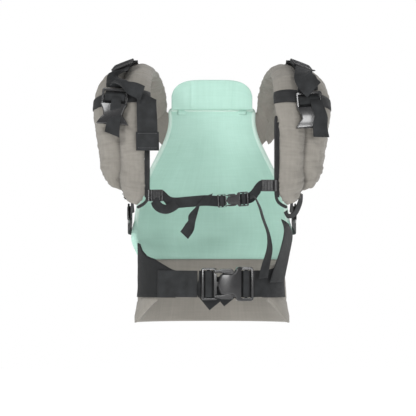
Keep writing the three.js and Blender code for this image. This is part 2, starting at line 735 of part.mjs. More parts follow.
// Left: the long loose end crosses over the socket's bar, folds and hangs with a hem.
const arch = through([
  [191, -133, 371, 0, 1, 0],
  [184, -135, 376, 0, 1, 0.2],
  [172, -138, 375, 0, 0.85, 0.5],
  [156, -142, 366, 0, 0.3, 0.95],
  [140, -143, 360, 0, 0, 1],
  [126, -142, 356, 0.1, 0, 1],
]);
const fold = ribbon(arch, 14, { width: 12, thick: STRAP.thick }, 34);
add("left_tail_fold", fold, "webbing", halves.left);
const hem = { width: 43, thick: 5 };
const longRows = [
  [121, -136, 349, 1, 0, 0],
  [122, -138, 326, 1, 0, 0],
  [121, -138, 300, 1, 0, 0],
  [120, -138, 250, 1, 0, 0],
];
const hemRows = [
  [120.5, -138, 284, 1, 0, 0],
  [120, -138, 249, 1, 0, 0],
];
const longTail = join(
  ribbon(through(longRows), 6, STRAP),
  ribbon(through(hemRows), 1, hem),
);
add("left_long_tail", longTail, "webbing", halves.left);

// Right: the same end is gathered in a zigzag above the socket.
const zigzag = through([
  [175, -103, 403, 0.97, 0, -0.25],
  [179, -118, 391, 0.96, 0, -0.28],
  [184, -131, 378, 0.95, 0, -0.3],
  [186, -137, 372, 0.96, 0, -0.2],
  [183, -134, 381, 0.98, 0, -0.1],
  [179, -126, 395, 0.98, 0, -0.1],
]);
add("right_folded_tail", ribbon(zigzag, 24, STRAP), "webbing");

// Chest strap: a clip on each rail, webbing, and a small side-release buckle.
const CHEST_Y = -122;
function chestSlider(height) {
  const { x, y } = RAIL;
  const tall = 22;
  const upright = (radius, high) =>
    new THREE.CylinderGeometry(radius, radius, high, 16).rotateX(Math.PI / 2);
  const body = new THREE.BoxGeometry(24, 5, tall).translate(-15, 0, 0);
  const ribs = [-24, -19, -14, -9].map((at) =>
    new THREE.BoxGeometry(2.4, 3, tall - 3).translate(at, -3.2, 0),
  );
  const hole = upright(PIPING_R + 0.8, tall + 2);
  const slit = new THREE.BoxGeometry(8, 2.4, tall + 2).translate(4, 0, 0);
  const pocket = new THREE.BoxGeometry(12, 2.6, CHEST.width + 1).translate(-24, 0, 0);
  const clip = cut(join(upright(5.4, tall), body, ...ribs), hole, slit, pocket);
  return clip.translate(x, y, height);
}
const LEFT_CLIP_Z = 165.5;
const RIGHT_CLIP_Z = 184;
add("right_chest_slider", chestSlider(RIGHT_CLIP_Z), "plastic", halves.right);
add("left_chest_slider", chestSlider(LEFT_CLIP_Z), "plastic", halves.left);

const chest = stand([27.5, CHEST_Y, 156], [0.996, 0, 0.087], [0, -1, 0]);
chest.updateMatrix();
add("chest_socket", socket(CHEST_BUCKLE), "plastic", chest);
add("chest_plug", plug(CHEST_BUCKLE), "plastic", chest);
add("chest_prong_upper", prong(CHEST_BUCKLE), "plastic", chest);
add("chest_prong_lower", prong(CHEST_BUCKLE), "plastic", chest).rotation.x = Math.PI;

const toChest = ([x, , z]) => {
  const across = v3(0, -1, 0).transformDirection(chest.matrix);
  return [...v3(x, 0, z).applyMatrix4(chest.matrix).toArray(), ...across.toArray()];
};
const chestPlugStart = -0.15 * CHEST_BUCKLE.w;
const chestPlugRows = overBar(CHEST_BUCKLE, chestPlugStart, -1, CHEST).map(toChest).reverse();
const clipX = RAIL.x - 19;
const leftChestRows = [
  [-clipX, RAIL.y, LEFT_CLIP_Z, 0, 0, 1],
  [-clipX + 8, RAIL.y, LEFT_CLIP_Z, 0, 0, 1],
  [-78, -118, 153, 0.15, 0, 1],
  [-45, -118, 153.5, -0.08, 0, 1],
  [-14, -118.6, 156, 0.05, 0, 1],
  ...chestPlugRows,
];
add("left_chest_webbing", ribbon(through(leftChestRows), 34, CHEST), "webbing");

const chestLoopRows = overBar(CHEST_BUCKLE, CHEST_BUCKLE.body, 1, CHEST);
add("chest_socket_webbing", ribbon(through(chestLoopRows), 14, CHEST), "webbing", chest);
const rightChestRows = [
  [62, -114, 159, -0.1, 0, 1],
  [74, -115, 163, -0.3, 0, 1],
  [86, -115.6, 178, -0.35, 0, 1],
  [clipX - 8, RAIL.y, RIGHT_CLIP_Z, 0, 0, 1],
  [clipX, RAIL.y, RIGHT_CLIP_Z, 0, 0, 1],
];
add("right_chest_webbing", ribbon(through(rightChestRows), 14, CHEST), "webbing");

const slack = through([
  [-106, -127, 158, 0.77, 0, 0.63],
  [-103, -128.5, 147, 0.85, 0.1, 0.45],
  [-96, -129.5, 138, 0.5, 0.2, 0.8],
  [-85, -129.5, 135, 0, 0.3, 0.95],
  [-73, -128.5, 140, -0.45, 0.2, 0.85],
  [-64, -126.5, 149, -0.65, 0.1, 0.75],
]);
add("chest_slack_loop", ribbon(slack, 12, { width: 13, thick: 1.5 }), "webbing");

const twisted = through([
  [-2, -127, 160, 0.35, 0, 0.94],
  [-22, -127, 152, 0.55, 0.1, 0.83],
  [-34, -127, 134, 0.75, 0.65, 0.3],
  [-38, -127, 117, 0.45, 0.88, -0.1],
  [-43, -126, 104, 0.8, 0.2, -0.55],
  [-52, -125, 91, 0.72, 0, -0.69],
]);
add("chest_short_tail", ribbon(twisted, 16, CHEST), "webbing");

const drooping = through([
  [71, -129, 163, 0.1, 0.8, 0.55],
  [79, -130, 162, 0.1, 0.97, 0.1],
  [88, -128, 146, 0.2, 0.97, 0],
  [95, -113, 124, 0.25, 0.96, 0],
  [106, -88, 92, 0.3, 0.95, 0],
  [108, -86, 66, 0.55, 0.83, 0],
  [101, -91, 36, 0.78, 0.6, 0.1],
  [95, -96, 10, 0.88, 0.45, 0.1],
]);
add("chest_long_tail", ribbon(drooping, 22, CHEST), "webbing");

// Underarm webbing from each pad's tip to the side of the panel, with its own adjuster.
const ARM = { at: [157, -42, 132], along: [0, 0.93, -0.37], face: [1, 0, 0] };
for (const [side, parent] of Object.entries(halves)) {
  const holder = stand(ARM.at, ARM.along, ARM.face, parent);
  holder.updateMatrix();
  add(`${side}_underarm_adjuster`, adjuster(SIDE_ADJUSTER), "plastic", holder);
  const start = -SIDE_ADJUSTER.bar / 2 - SIDE_ADJUSTER.slot;
  const turn = overBar(SIDE_ADJUSTER, start, 1, SIDE);
  add(`${side}_underarm_loop`, ribbon(through(turn), 14, SIDE), "webbing", holder);
  const layer = under(SIDE_ADJUSTER, SIDE) - SIDE.thick - GAP;
  const beside = (along) => {
    const point = v3(along, 0, layer).applyMatrix4(holder.matrix);
    return [...point.toArray(), 0, 0.37, 0.93];
  };
  const rows = [
    [147, -92, 146, 0.1, 0.3, 0.95],
    ...[-26, 0, 34].map(beside),
    [158, 12, 111, 0, 0.3, 0.95],
    [159, 32, 105, 0, 0.1, 0.99],
    [153, 52, 103, 0, 0, 1],
  ];
  add(`${side}_underarm_webbing`, ribbon(through(rows), 18, SIDE), "webbing", parent);
}
const loose = through([
  [163, -60, 150, 0, 1, 0],
  [168, -74, 168, 0, 1, 0],
  [165, -78, 152, 0, 1, 0],
  [155, -80, 131, 0, 1, 0],
  [143, -82, 127, 0, 1, 0],
  [138, -82, 136, 0, 1, 0],
]);
add("right_underarm_tail", ribbon(loose, 16, { width: 16, thick: 1.5 }), "webbing");

export default carrier;
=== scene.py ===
"""Looks of a soft baby carrier in its worn shape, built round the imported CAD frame.

Metres, +Z up. The wearer's back faces -Y, where the camera stands. Rows of points listed here
are in millimetres, because a carrier is measured in them, and are scaled once by MM.
"""
import math

import bmesh
import bpy
import numpy as np
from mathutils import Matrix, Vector, kdtree, noise


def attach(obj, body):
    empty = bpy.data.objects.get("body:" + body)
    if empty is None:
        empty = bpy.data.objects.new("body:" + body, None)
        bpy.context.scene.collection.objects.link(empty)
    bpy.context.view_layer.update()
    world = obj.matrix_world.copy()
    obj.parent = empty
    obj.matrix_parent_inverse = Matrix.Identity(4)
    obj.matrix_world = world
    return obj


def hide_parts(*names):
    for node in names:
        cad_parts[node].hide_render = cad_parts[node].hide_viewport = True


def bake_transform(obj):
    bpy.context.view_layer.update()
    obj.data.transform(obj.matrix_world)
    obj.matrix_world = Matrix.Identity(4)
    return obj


MM = 0.001
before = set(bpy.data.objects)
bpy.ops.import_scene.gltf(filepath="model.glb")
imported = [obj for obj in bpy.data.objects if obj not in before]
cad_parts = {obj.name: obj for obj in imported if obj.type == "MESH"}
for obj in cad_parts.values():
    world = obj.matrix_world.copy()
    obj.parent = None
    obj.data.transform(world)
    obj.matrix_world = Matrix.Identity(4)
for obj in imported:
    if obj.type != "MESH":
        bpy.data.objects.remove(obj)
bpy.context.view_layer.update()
scene = bpy.context.scene

# ------------------------------------------------------------------ driving dimensions, mm
WAIST_HALF_WIDTH, WAIST_HALF_DEPTH = 131, 99
BELT, STRAP, SIDE, CHEST = (50, 2.0), (38, 1.8), (25, 1.6), (20, 1.5)
PAD_THICK, PAD_LENGTH, PAD_WIDTH = 27, 560, 92
LOBE_ROOM = 16  # a lobe narrower than this gets thinner too
VALLEY_CUT, VALLEY_SINK = (3.2, 3.4), (1.4, 9)  # depth and width: at the seam, and the cloth beside it
# SEAM_SHADE is the width, in mm, of the painted shade along the pads' sewn valley
SEAM_SHADE = 2.1
GAP = 0.4
PANEL_LOW, PANEL_HIGH, PANEL_THICK, PANEL_OFF = 42, 330, 4, 16
HEADREST_TALL, HEADREST_THICK, HEADREST_BEND = 58, 13, 0.0042
BAND_END, BAND_THICK = 0.86, 13
CHANNELS = (0.36, 0.7)  # the waistband's two sewn lines, as shares of its height
WING_OUT, WING_THICK = 9.8, 1.6
BELT_OUT = WING_OUT + WING_THICK + GAP + BELT[1] / 2
RAIL_X, RAIL_Y, RAIL_LOW, RAIL_HIGH = 119, -119.5, 154, 300
RAIL_RADIUS, RAIL_FLANGE = 3.0, (7, 1.3)
RAIL_BEND = ((6, 2, -2), (13, 6, -7), (21, 11, -11))  # out along the pad's edge, past its low end
KEEPER, KEEPER_MIDDLE = (0.5, 0.54), 0.52
CLIP_HEIGHT = {"right": 184, "left": 165.5}
STITCH_LENGTH, STITCH_GAP = 2.6, 1.2
THREAD = 0.9 * MM
LEFT_WING_TURNS = (0.5, 0.56, 0.7, 0.86, 1.05, 1.18, 1.27, 1.42)
LEFT_WING_TOP = (25, 27, 36, 46, 52, 62, 74, 76)
WAIST_BUCKLE = dict(w=50, body=45, slot=6.5, bar=5.5, rim=4.5, thick=13.5, frame=6.5)
SHOULDER_BUCKLE = dict(w=38, body=40, slot=8, bar=7, rim=5, thick=12, frame=6)
CHEST_BUCKLE = dict(w=20, body=26, slot=4, bar=3.5, rim=3, thick=8, frame=4.5)
TOP_ADJUSTER = dict(w=38, slot=4.5, bar=3.5, rim=3.2, frame=4.5)
SIDE_ADJUSTER = dict(w=25, slot=4.5, bar=3.5, rim=3, frame=4)


# ------------------------------------------------------------------ camera, light and floor
def set_stage():
    camera = bpy.data.objects.new("camera", bpy.data.cameras.new("camera"))
    camera.location = (-0.0075, -8.1, 0.142)
    camera.rotation_euler = (math.pi / 2, 0, 0)
    camera.data.lens = 369.7
    scene.collection.objects.link(camera)
    scene.camera = camera
    scene.view_settings.view_transform = "Standard"

    world = bpy.data.worlds.new("studio")
    world.use_nodes = True
    tree = world.node_tree
    tree.nodes["Background"].inputs["Color"].default_value = (1, 1, 1, 1)
    # The backdrop is plain white, and lights the part at half that strength.
    seen = tree.nodes.new("ShaderNodeLightPath").outputs["Is Camera Ray"]
    spread = tree.nodes.new("ShaderNodeMapRange")
    spread.inputs["To Min"].default_value = 0.5
    tree.links.new(seen, spread.inputs["Value"])
    tree.links.new(spread.outputs[0], tree.nodes["Background"].inputs["Strength"])
    scene.world = world

    area_light("key", (-1.5, -2.2, 1.9), 1.1, 42)
    area_light("softbox_low", (0.6, -2.7, 0.34), 0.5, 13)
    area_light("softbox_high", (0.62, -2.6, 1.02), 0.45, 10)
    area_light("rim", (1.8, 1.6, 1.6), 1.2, 22)

    size, z = 12, -0.62
    corners = [(-size, -size, z), (size, -size, z), (size, size, z), (-size, size, z)]
    floor = new_object("floor", corners, [(0, 1, 2, 3)])
    floor.data.materials.append(floor_material())


def area_light(name, place, size, power):
    light = bpy.data.objects.new(name, bpy.data.lights.new(name, "AREA"))
    light.data.energy = power
    light.data.size = size
    light.location = place
    aim = Vector((0, 0, 0.15)) - Vector(place)
    light.rotation_euler = aim.to_track_quat("-Z", "Y").to_euler()
    light.visible_camera = False
    scene.collection.objects.link(light)


# ------------------------------------------------------------------ node helpers
class Shader:
    """A principled material and short names for the nodes that feed it."""

    def __init__(self, name, roughness, specular=0.5, sheen=0.0, coat=0.0):
        self.material = bpy.data.materials.new(name)
        self.material.use_nodes = True
        self.tree = self.material.node_tree
        self.out = self.tree.nodes["Principled BSDF"]
        self.set("Roughness", roughness)
        self.set("Specular IOR Level", specular)
        self.set("Sheen Weight", sheen)
        self.set("Coat Weight", coat)
        self.set("Coat Roughness", 0.08)

    def set(self, socket, value):
        self.out.inputs[socket].default_value = value

    def node(self, kind, settings=None, **inputs):
        node = self.tree.nodes.new("ShaderNode" + kind)
        for key, value in (settings or {}).items():
            setattr(node, key, value)
        for key, value in inputs.items():
            numbered = key[0] == "i" and key[1:].isdigit()
            socket = node.inputs[int(key[1:]) if numbered else key]
            if isinstance(value, bpy.types.NodeSocket):
                self.tree.links.new(value, socket)
            else:
                socket.default_value = value
        return node

    def math(self, operation, a, b=0.0):
        return self.node("Math", {"operation": operation}, i0=a, i1=b).outputs[0]

    def uv(self):
        """Own coordinates in metres: first along the piece, then across it."""
        place = self.node("UVMap", {"uv_map": "UVMap"}).outputs[0]
        split = self.node("SeparateXYZ", i0=place)
        return place, split.outputs[0], split.outputs[1]

    def object_place(self):
        return self.node("TexCoord").outputs["Object"]

    def waves(self, along, period):
        return self.math("SINE", self.math("MULTIPLY", along, 2 * math.pi / period))

    def noise(self, place, scale, detail=3.0, stretch=(1, 1, 1)):
        moved = self.node("Mapping", Vector=place, Scale=stretch).outputs[0]
        return self.node("TexNoise", Vector=moved, Scale=scale, Detail=detail).outputs["Fac"]

    def attribute(self, name):
        return self.node("Attribute", {"attribute_name": name}).outputs["Fac"]

    def mix(self, share, a, b):
        mixer = self.node("Mix", {"data_type": "RGBA"}, i0=share)
        for socket, value in ((mixer.inputs[6], a), (mixer.inputs[7], b)):
            if isinstance(value, bpy.types.NodeSocket):
                self.tree.links.new(value, socket)
            else:
                socket.default_value = (*value, 1)
        return mixer.outputs[2]

    def ramp(self, value, low, high):
        spread = self.node("MapRange", i0=value, i1=low, i2=high)
        return spread.outputs[0]

    def colour(self, value):
        self.tree.links.new(value, self.out.inputs["Base Color"])

    def rough(self, value):
        self.tree.links.new(value, self.out.inputs["Roughness"])

    def bump(self, height, distance, strength=1.0):
        bump = self.node("Bump", Height=height, Distance=distance, Strength=strength)
        self.tree.links.new(bump.outputs[0], self.out.inputs["Normal"])


def floor_material():
    s = Shader("studio_floor", 0.9)
    tone = s.noise(s.object_place(), 3.0)
    s.colour(s.mix(tone, (0.90, 0.90, 0.90), (0.94, 0.94, 0.94)))
    s.set("Emission Color", (1, 1, 1, 1))
    s.set("Emission Strength", 0.62)
    return s.material


def woven(name, light, dark, valley_shade_colour, slub=0.25, sheen=0.15):
    """Plain-weave cloth: warp and weft threads, thick and thin yarns, faint soiling and a painted shade where
    the 'seam' attribute marks the pads' sewn valley.
    """
    s = Shader(name, 0.88, specular=0.25, sheen=sheen)
    s.set("Sheen Roughness", 0.6)
    place, along, across = s.uv()
    warp, weft = s.waves(across, THREAD), s.waves(along, THREAD)
    over = s.math("MULTIPLY", warp, weft)
    yarn = s.noise(place, 260, 2, (1.0, 0.06, 1))
    cross_yarn = s.noise(place, 260, 2, (0.06, 1.0, 1))
    mottle = s.noise(s.object_place(), 14, 4)
    fleck = s.math("ADD", s.math("MULTIPLY", yarn, 0.5), s.math("MULTIPLY", cross_yarn, 0.5))
    tone = s.math("ADD", s.math("MULTIPLY", fleck, slub * 2), s.math("MULTIPLY", mottle, 0.5))
    tone = s.ramp(s.math("ADD", tone, s.math("MULTIPLY", over, 0.05)), 0.2, 0.8)
    cloth = s.mix(tone, dark, light)
    # Painted shade: the cloth darkens to its third colour along the pads' sewn valley, by the 'seam'
    # attribute
    s.colour(s.mix(s.attribute("seam"), cloth, valley_shade_colour))
    height = s.math("ADD", s.math("MULTIPLY", over, 0.5), s.math("MULTIPLY", fleck, 0.9))
    s.bump(height, 0.16 * MM, 0.7)
    return s.material


def ribbed(name, light, dark, rib=1.7 * MM, pick=1.1 * MM):
    """Webbing: ribs run along it, crossed by fine picks, with patchy wear."""
    s = Shader(name, 0.7, specular=0.3, sheen=0.06)
    s.set("Sheen Roughness", 0.5)
    _, along, across = s.uv()
    ribs = s.waves(across, rib)
    picks = s.waves(s.math("ADD", along, s.math("MULTIPLY", ribs, 0.00022)), pick)
    weave = s.math("ADD", s.math("MULTIPLY", ribs, 0.6), s.math("MULTIPLY", picks, 0.4))
    wear = s.noise(s.object_place(), 60, 4)
    tone = s.math("ADD", s.math("MULTIPLY", weave, 0.16), wear)
    s.colour(s.mix(s.ramp(tone, 0.2, 0.85), dark, light))
    s.bump(s.math("ADD", weave, s.math("MULTIPLY", wear, 0.7)), 0.22 * MM, 0.8)
    return s.material


def moulded_plastic(name, base, scuffed, rough=0.24):
    """Glossy moulded plastic with a faint orange peel and hairline scuffs."""
    s = Shader(name, rough, specular=0.5, coat=0.4)
    place = s.object_place()
    scuffs = s.noise(place, 900, 3, (1, 0.2, 0.06))
    blotch = s.noise(place, 45, 3)
    s.colour(s.mix(s.ramp(scuffs, 0.62, 0.9), base, scuffed))
    s.rough(s.math("ADD", s.math("MULTIPLY", blotch, 0.16), rough - 0.06))
    s.bump(s.math("ADD", s.noise(place, 240, 2), s.math("MULTIPLY", scuffs, 0.5)), 0.05 * MM, 0.35)
    return s.material


def thread_material(name, light, dark):
    """Twisted sewing thread."""
    s = Shader(name, 0.6, specular=0.35)
    twist = s.noise(s.object_place(), 1500, 1)
    s.colour(s.mix(twist, dark, light))
    s.bump(twist, 0.1 * MM)
    return s.material


# ------------------------------------------------------------------ curves
def curve_through(points, slopes):
    """A Catmull-Rom curve, as a function of 0 to 1. slopes(a, b, c, d) gives those at b and at c."""
    p = np.array(points, float)
    p = np.vstack([2 * p[0] - p[1], p, 2 * p[-1] - p[-2]])
    spans = len(points) - 1

    def at(t):
        where = min(max(t, 0), 1) * spans
        i = min(int(where), spans - 1)
        a, b, c, d = p[i : i + 4]
        start, end = slopes(a, b, c, d)
        w = where - i
        square = (-3 * b + 3 * c - 2 * start - end) * w**2
        cube = (2 * b - 2 * c + start + end) * w**3
        return b + start * w + square + cube

    return at


def centripetal(a, b, c, d):
    g0, g1, g2 = [max(np.linalg.norm(v) ** 0.5, 1e-3) for v in (b - a, c - b, d - c)]
    start = ((b - a) / g0 - (c - a) / (g0 + g1) + (c - b) / g1) * g1
    end = ((c - b) / g1 - (d - b) / (g1 + g2) + (d - c) / g2) * g1
    return start, end


def spline(points):
    return curve_through(points, centripetal)


def plain_spline(points):
    """Evenly spaced, for directions."""
    return curve_through(points, lambda a, b, c, d: ((c - a) / 2, (d - b) / 2))


def heading(curve, t):
    return unit(curve(min(1, t + 0.01)) - curve(max(0, t - 0.01)))


def smoothstep(x, low, high):
    k = min(max((x - low) / (high - low), 0), 1)
    return k * k * (3 - 2 * k)


def mix(a, b, k):
    return a + (b - a) * k


def unit(v):
    return v / max(np.linalg.norm(v), 1e-9)


# ------------------------------------------------------------------ mesh helpers
def new_object(name, vertices, faces, uvs=None):
    mesh = bpy.data.meshes.new(name)
    mesh.from_pydata([tuple(v) for v in vertices], [], faces)
    if uvs is not None:
        layer = mesh.uv_layers.new(name="UVMap")
        layer.data.foreach_set("uv", np.array(uvs, np.float32).ravel())
    mesh.polygons.foreach_set("use_smooth", [True] * len(mesh.polygons))
    obj = bpy.data.objects.new(name, mesh)
    scene.collection.objects.link(obj)
    return obj


def skin(name, rings, closed_ends=True):
    """A skin over closed rings of points in millimetres, with coordinates along and around it."""
    rings = np.array(rings, float) * MM
    count, size, _ = rings.shape
    middle = rings.mean(axis=1)
    along = np.concatenate([[0], np.cumsum(np.linalg.norm(np.diff(middle, axis=0), axis=1))])
    around = np.concatenate([[0], np.cumsum(np.linalg.norm(np.diff(rings[count // 2], axis=0), axis=1))])
    around = np.append(around, around[-1] + np.linalg.norm(rings[count // 2][0] - rings[count // 2][-1]))
    faces, uvs = [], []
    for i in range(count - 1):
        for j in range(size):
            k = (j + 1) % size
            faces.append((i * size + j, i * size + k, (i + 1) * size + k, (i + 1) * size + j))
            uvs += [(along[i], around[j]), (along[i], around[j + 1])]
            uvs += [(along[i + 1], around[j + 1]), (along[i + 1], around[j])]
    if closed_ends:
        for ring, order in ((0, range(size - 1, -1, -1)), (count - 1, range(size))):
            faces.append(tuple(ring * size + j for j in order))
            uvs += [(around[j] * 0.5, 0) for j in order]
    obj = new_object(name, rings.reshape(-1, 3), faces, uvs)
    fix_normals(obj)
    return obj


def round_ring(middle, side, up, radius, sides):
    turns = [2 * math.pi * j / sides for j in range(sides)]
    return [middle + (side * math.cos(a) + up * math.sin(a)) * radius for a in turns]


def fix_normals(obj):
    """Turns a closed mesh's faces outwards."""
    work = bmesh.new()
    work.from_mesh(obj.data)
    bmesh.ops.recalc_face_normals(work, faces=work.faces)
    work.to_mesh(obj.data)
    work.free()


def applied(obj):
    """Bakes an object's modifiers into its mesh."""
    graph = bpy.context.evaluated_depsgraph_get()
    mesh = bpy.data.meshes.new_from_object(obj.evaluated_get(graph), depsgraph=graph)
    obj.modifiers.clear()
    obj.data = mesh
    mesh.polygons.foreach_set("use_smooth", [True] * len(mesh.polygons))
    return obj


def coordinates(obj):
    found = np.empty(len(obj.data.vertices) * 3)
    obj.data.vertices.foreach_get("co", found)
    return found.reshape(-1, 3)


def normals(obj):
    found = np.empty(len(obj.data.vertices) * 3)
    obj.data.vertices.foreach_get("normal", found)
    return found.reshape(-1, 3)


def move_to(obj, places):
    obj.data.vertices.foreach_set("co", np.asarray(places, np.float32).ravel())
    obj.data.update()


def subdivide(obj, levels):
    step = obj.modifiers.new("subdivide", "SUBSURF")
    step.levels = step.render_levels = levels
    return obj


# Stores each point's share of painted shade along the sewn valley, as the 'seam' attribute
def write_valley_shade(obj, values):
    layer = obj.data.attributes.new("seam", "FLOAT", "POINT")
    layer.data.foreach_set("value", np.asarray(values, np.float32))


# A piece with no painted valley shade
def no_valley_shade(obj):
    write_valley_shade(obj, np.zeros(len(obj.data.vertices)))


def place(obj, body, material, *nodes):
    """Finishes a piece: its material, the CAD body it rides on and the CAD nodes it stands for."""
    obj.data.materials.clear()
    obj.data.materials.append(LOOKS[material])
    if body:
        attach(obj, body)
    if nodes:
        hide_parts(*nodes)
    return obj


# ------------------------------------------------------------------ straps
def strap(
    name, node, body, rows, webbing, steps, material="webbing", end_width=None, cup=0.0, ripple=0.3
):
    """Webbing with rounded selvedges, a slight cup and a gentle ripple.

    Each row is x, y, z and the direction across.
    """
    width, thick = webbing
    shares = [1, 0.97, 0.88, 0.6, 0.3, 0, -0.3, -0.6, -0.88, -0.97, -1]
    line, across = spline([r[:3] for r in rows]), plain_spline([r[3:] for r in rows])
    rings = []
    seed = sum(map(ord, name)) * 0.37
    for t in np.linspace(0, 1, steps + 1):
        middle, side = line(t), unit(across(t))
        face = unit(np.cross(heading(line, t), side))
        half = mix(width, end_width or width, t) / 2
        lift = ripple * noise.noise(Vector((t * steps * 0.12, seed, 0)))
        ring = []
        for sign in (1, -1):
            for s in shares[::sign]:
                thin = thick / 2 * (1 - 0.55 * abs(s) ** 12)
                bend = cup * (s * s - 0.5) + lift * (1 + 0.6 * s)
                ring.append(middle + side * half * s + face * (sign * thin + bend))
        rings.append(ring)
    return place(skin(name, rings), body, material, *([node] if node else []))


def outward(point):
    return point[0], point[1], 0


def stitches(name, body, points, facing, radius=0.3, thread="black_thread"):
    """A row of thread stitches along points, standing just proud of the cloth."""
    curve = spline(points)
    total = sum(np.linalg.norm(curve((i + 1) / 40) - curve(i / 40)) for i in range(40))
    count = max(1, int(total / (STITCH_LENGTH + STITCH_GAP)))
    sewn = STITCH_LENGTH / (STITCH_LENGTH + STITCH_GAP)
    vertices, faces = [], []
    for i in range(count):
        a, b = curve(i / count), curve((i + sewn) / count)
        ahead = unit(b - a)
        up = unit(np.array(facing(0.5 * (a + b)) if callable(facing) else facing, float))
        side = unit(np.cross(ahead, up))
        start = len(vertices)
        for k, fat in ((0.0, 0.25), (0.3, 1.0), (0.7, 1.0), (1.0, 0.25)):
            for angle in range(5):
                turn = 2 * math.pi * angle / 5
                out = side * math.cos(turn) + up * math.sin(turn)
                hump = up * radius * math.sin(math.pi * k)
                vertices.append((mix(a, b, k) + out * radius * fat + hump) * MM)
        for ring in range(3):
            for j in range(5):
                k = (j + 1) % 5
                row = start + ring * 5
                faces.append((row + j, row + k, row + 5 + k, row + 5 + j))
        faces += [tuple(start + j for j in (4, 3, 2, 1, 0)), tuple(start + 15 + j for j in range(5))]
    return place(new_object(name, vertices, faces), body, thread)


# ------------------------------------------------------------------ the wearer's trunk
def flare(z):
    if z < 0:
        return 0.0022 * z * z
    return 0.00027 * (z - 60) ** 2 if z > 60 else 0.0


def around_trunk(turn, z, out):
    grown = flare(z) + out
    return np.array(
        (
            (WAIST_HALF_WIDTH + grown) * math.sin(turn),
            -(WAIST_HALF_DEPTH + grown) * math.cos(turn),
            z,
        )
    )


# ------------------------------------------------------------------ shoulder pads
INNER = spline(
    [
        (87, 126, 326),
        (91, 110, 360),
        (100, 70, 390),
        (108, 20, 401),
        (113, -40, 396),
        (116, -88, 374),
        (119, -112, 335),
        (126, -117, 290),
        (127.5, -117, 242),
        (125.5, -117, 195),
        (126, -116, 170),
        (140, -107, 147),
    ]
)
OUTER_SIDE = spline(
    [
        (108, 99, 262),
        (148, 80, 318),
        (178, 44, 360),
        (198, 0, 374),
        (209, -34, 371),
        (217, -60, 355),
        (221, -74, 322),
        (216, -79, 280),
        (209, -80, 235),
        (205, -81, 209),
        (190, -89, 184),
    ]
)
OUTER_END = spline([(190, -89, 184), (171, -97, 174), (168, -99, 162), (160, -103, 151)])
LAST_SPAN = 10 / 11


def outer(t):
    """The pad's outer edge: down the side to the outer lobe's round end, then up the inner lobe's tip."""
    if t < LAST_SPAN:
        return OUTER_SIDE(t / LAST_SPAN)
    return OUTER_END((t - LAST_SPAN) / (1 - LAST_SPAN))


def pad_fullness(t):
    return mix(0.55, 1, smoothstep(t, 0, 0.2)) * math.sqrt(max(0.05, 1 - smoothstep(t, 0.86, 1.02)))


def lobes(u):
    """Half thickness across the pad: two lobes with a sewn valley between."""
    wave = abs(math.sin(2 * math.pi * u))
    return max(0.3 * math.sin(math.pi * u), math.sqrt(wave))


def valley(t):
    """Where the sewn valley runs: down the middle, then straight on to the notch between the lobes."""
    return float(np.interp(t, [0.78, 0.909, 0.945, 1], [0.5, 0.68, 0.95, 0.95]))


def across_share(t, u):
    return 2 * u * valley(t) if u < 0.5 else mix(valley(t), 1, 2 * u - 1)


def half_thick(t, u, wide):
    """Half the stuffed thickness; a lobe that runs out gets thinner as it gets narrower."""
    room = min(1, (1 - valley(t)) * wide / LOBE_ROOM) if u > 0.5 else 1
    return PAD_THICK / 2 * pad_fullness(t) * lobes(u) * room


def pad_frame(t):
    start = INNER(t)
    across = outer(t) - start
    low, high = max(0, t - 0.02), min(1, t + 0.02)
    along = unit(INNER(high) - INNER(low) + outer(high) - outer(low))
    return start, across, along, unit(np.cross(along, across))


def on_pad(t, u, lift):
    start, across, _, out = pad_frame(t)
    crown = 0.09 * np.linalg.norm(across) * (1 - (2 * u - 1) ** 2)
    return start + across * u + out * (crown + lift)


def pad_ring(t, grow, shares, spread=None):
    """One closed section of the pad, grown evenly by a distance, and wider by its spread."""
    wide = np.linalg.norm(pad_frame(t)[1])
    spread = grow if spread is None else spread

    def edge(u, sign):
        thin = max(0.4, half_thick(t, u, wide) + grow)
        return on_pad(t, 0.5 + (across_share(t, u) - 0.5) * (1 + 2 * spread / wide), sign * thin)

    return [edge(u, 1) for u in shares] + [edge(u, -1) for u in shares[-2:0:-1]]


class PadMap:
    """Where points of the pad lie: their shares along and across it, and how far from its valley."""

    ALONG, ACROSS = 121, 41

    def __init__(self):
        t, u = np.linspace(0, 1, self.ALONG), np.linspace(0, 1, self.ACROSS)
        self.places = np.array([[self.sides(a, b) for b in u] for a in t])
        self.keys = np.array([[(a, b) for b in u] for a in t])
        self.slopes = [np.gradient(self.places, t, axis=0), np.gradient(self.places, u, axis=1)]
        self.tree = self.grow_tree(self.places.reshape(-1, 3))
        self.seam = self.grow_tree(self.places[:, self.ACROSS // 2].reshape(-1, 3))

    @staticmethod
    def sides(t, u):
        half = half_thick(t, u, np.linalg.norm(pad_frame(t)[1]))
        return [on_pad(t, across_share(t, u), sign * half) for sign in (1, -1)]

    @staticmethod
    def grow_tree(points):
        tree = kdtree.KDTree(len(points))
        for i, point in enumerate(points):
            tree.insert(point, i)
        tree.balance()
        return tree

    def shares(self, places_mm):
        """Each point's (along, across), by one step from the nearest sample."""
        nearest = [self.tree.find(p)[1] // 2 for p in places_mm]
        side = [self.tree.find(p)[1] % 2 for p in places_mm]
        row, column = np.divmod(nearest, self.ACROSS)
        away = places_mm - self.places[row, column, side]
        found = self.keys[row, column].copy()
        for axis, slope in enumerate(self.slopes):
            step = slope[row, column, side]
            move = (away * step).sum(axis=1) / np.maximum((step**2).sum(axis=1), 1e-9)
            found[:, axis] += np.clip(move, -0.02, 0.02)
        return np.clip(found, 0, 1)

    def from_valley(self, places_mm):
        return np.array([self.seam.find(p)[2] for p in places_mm])


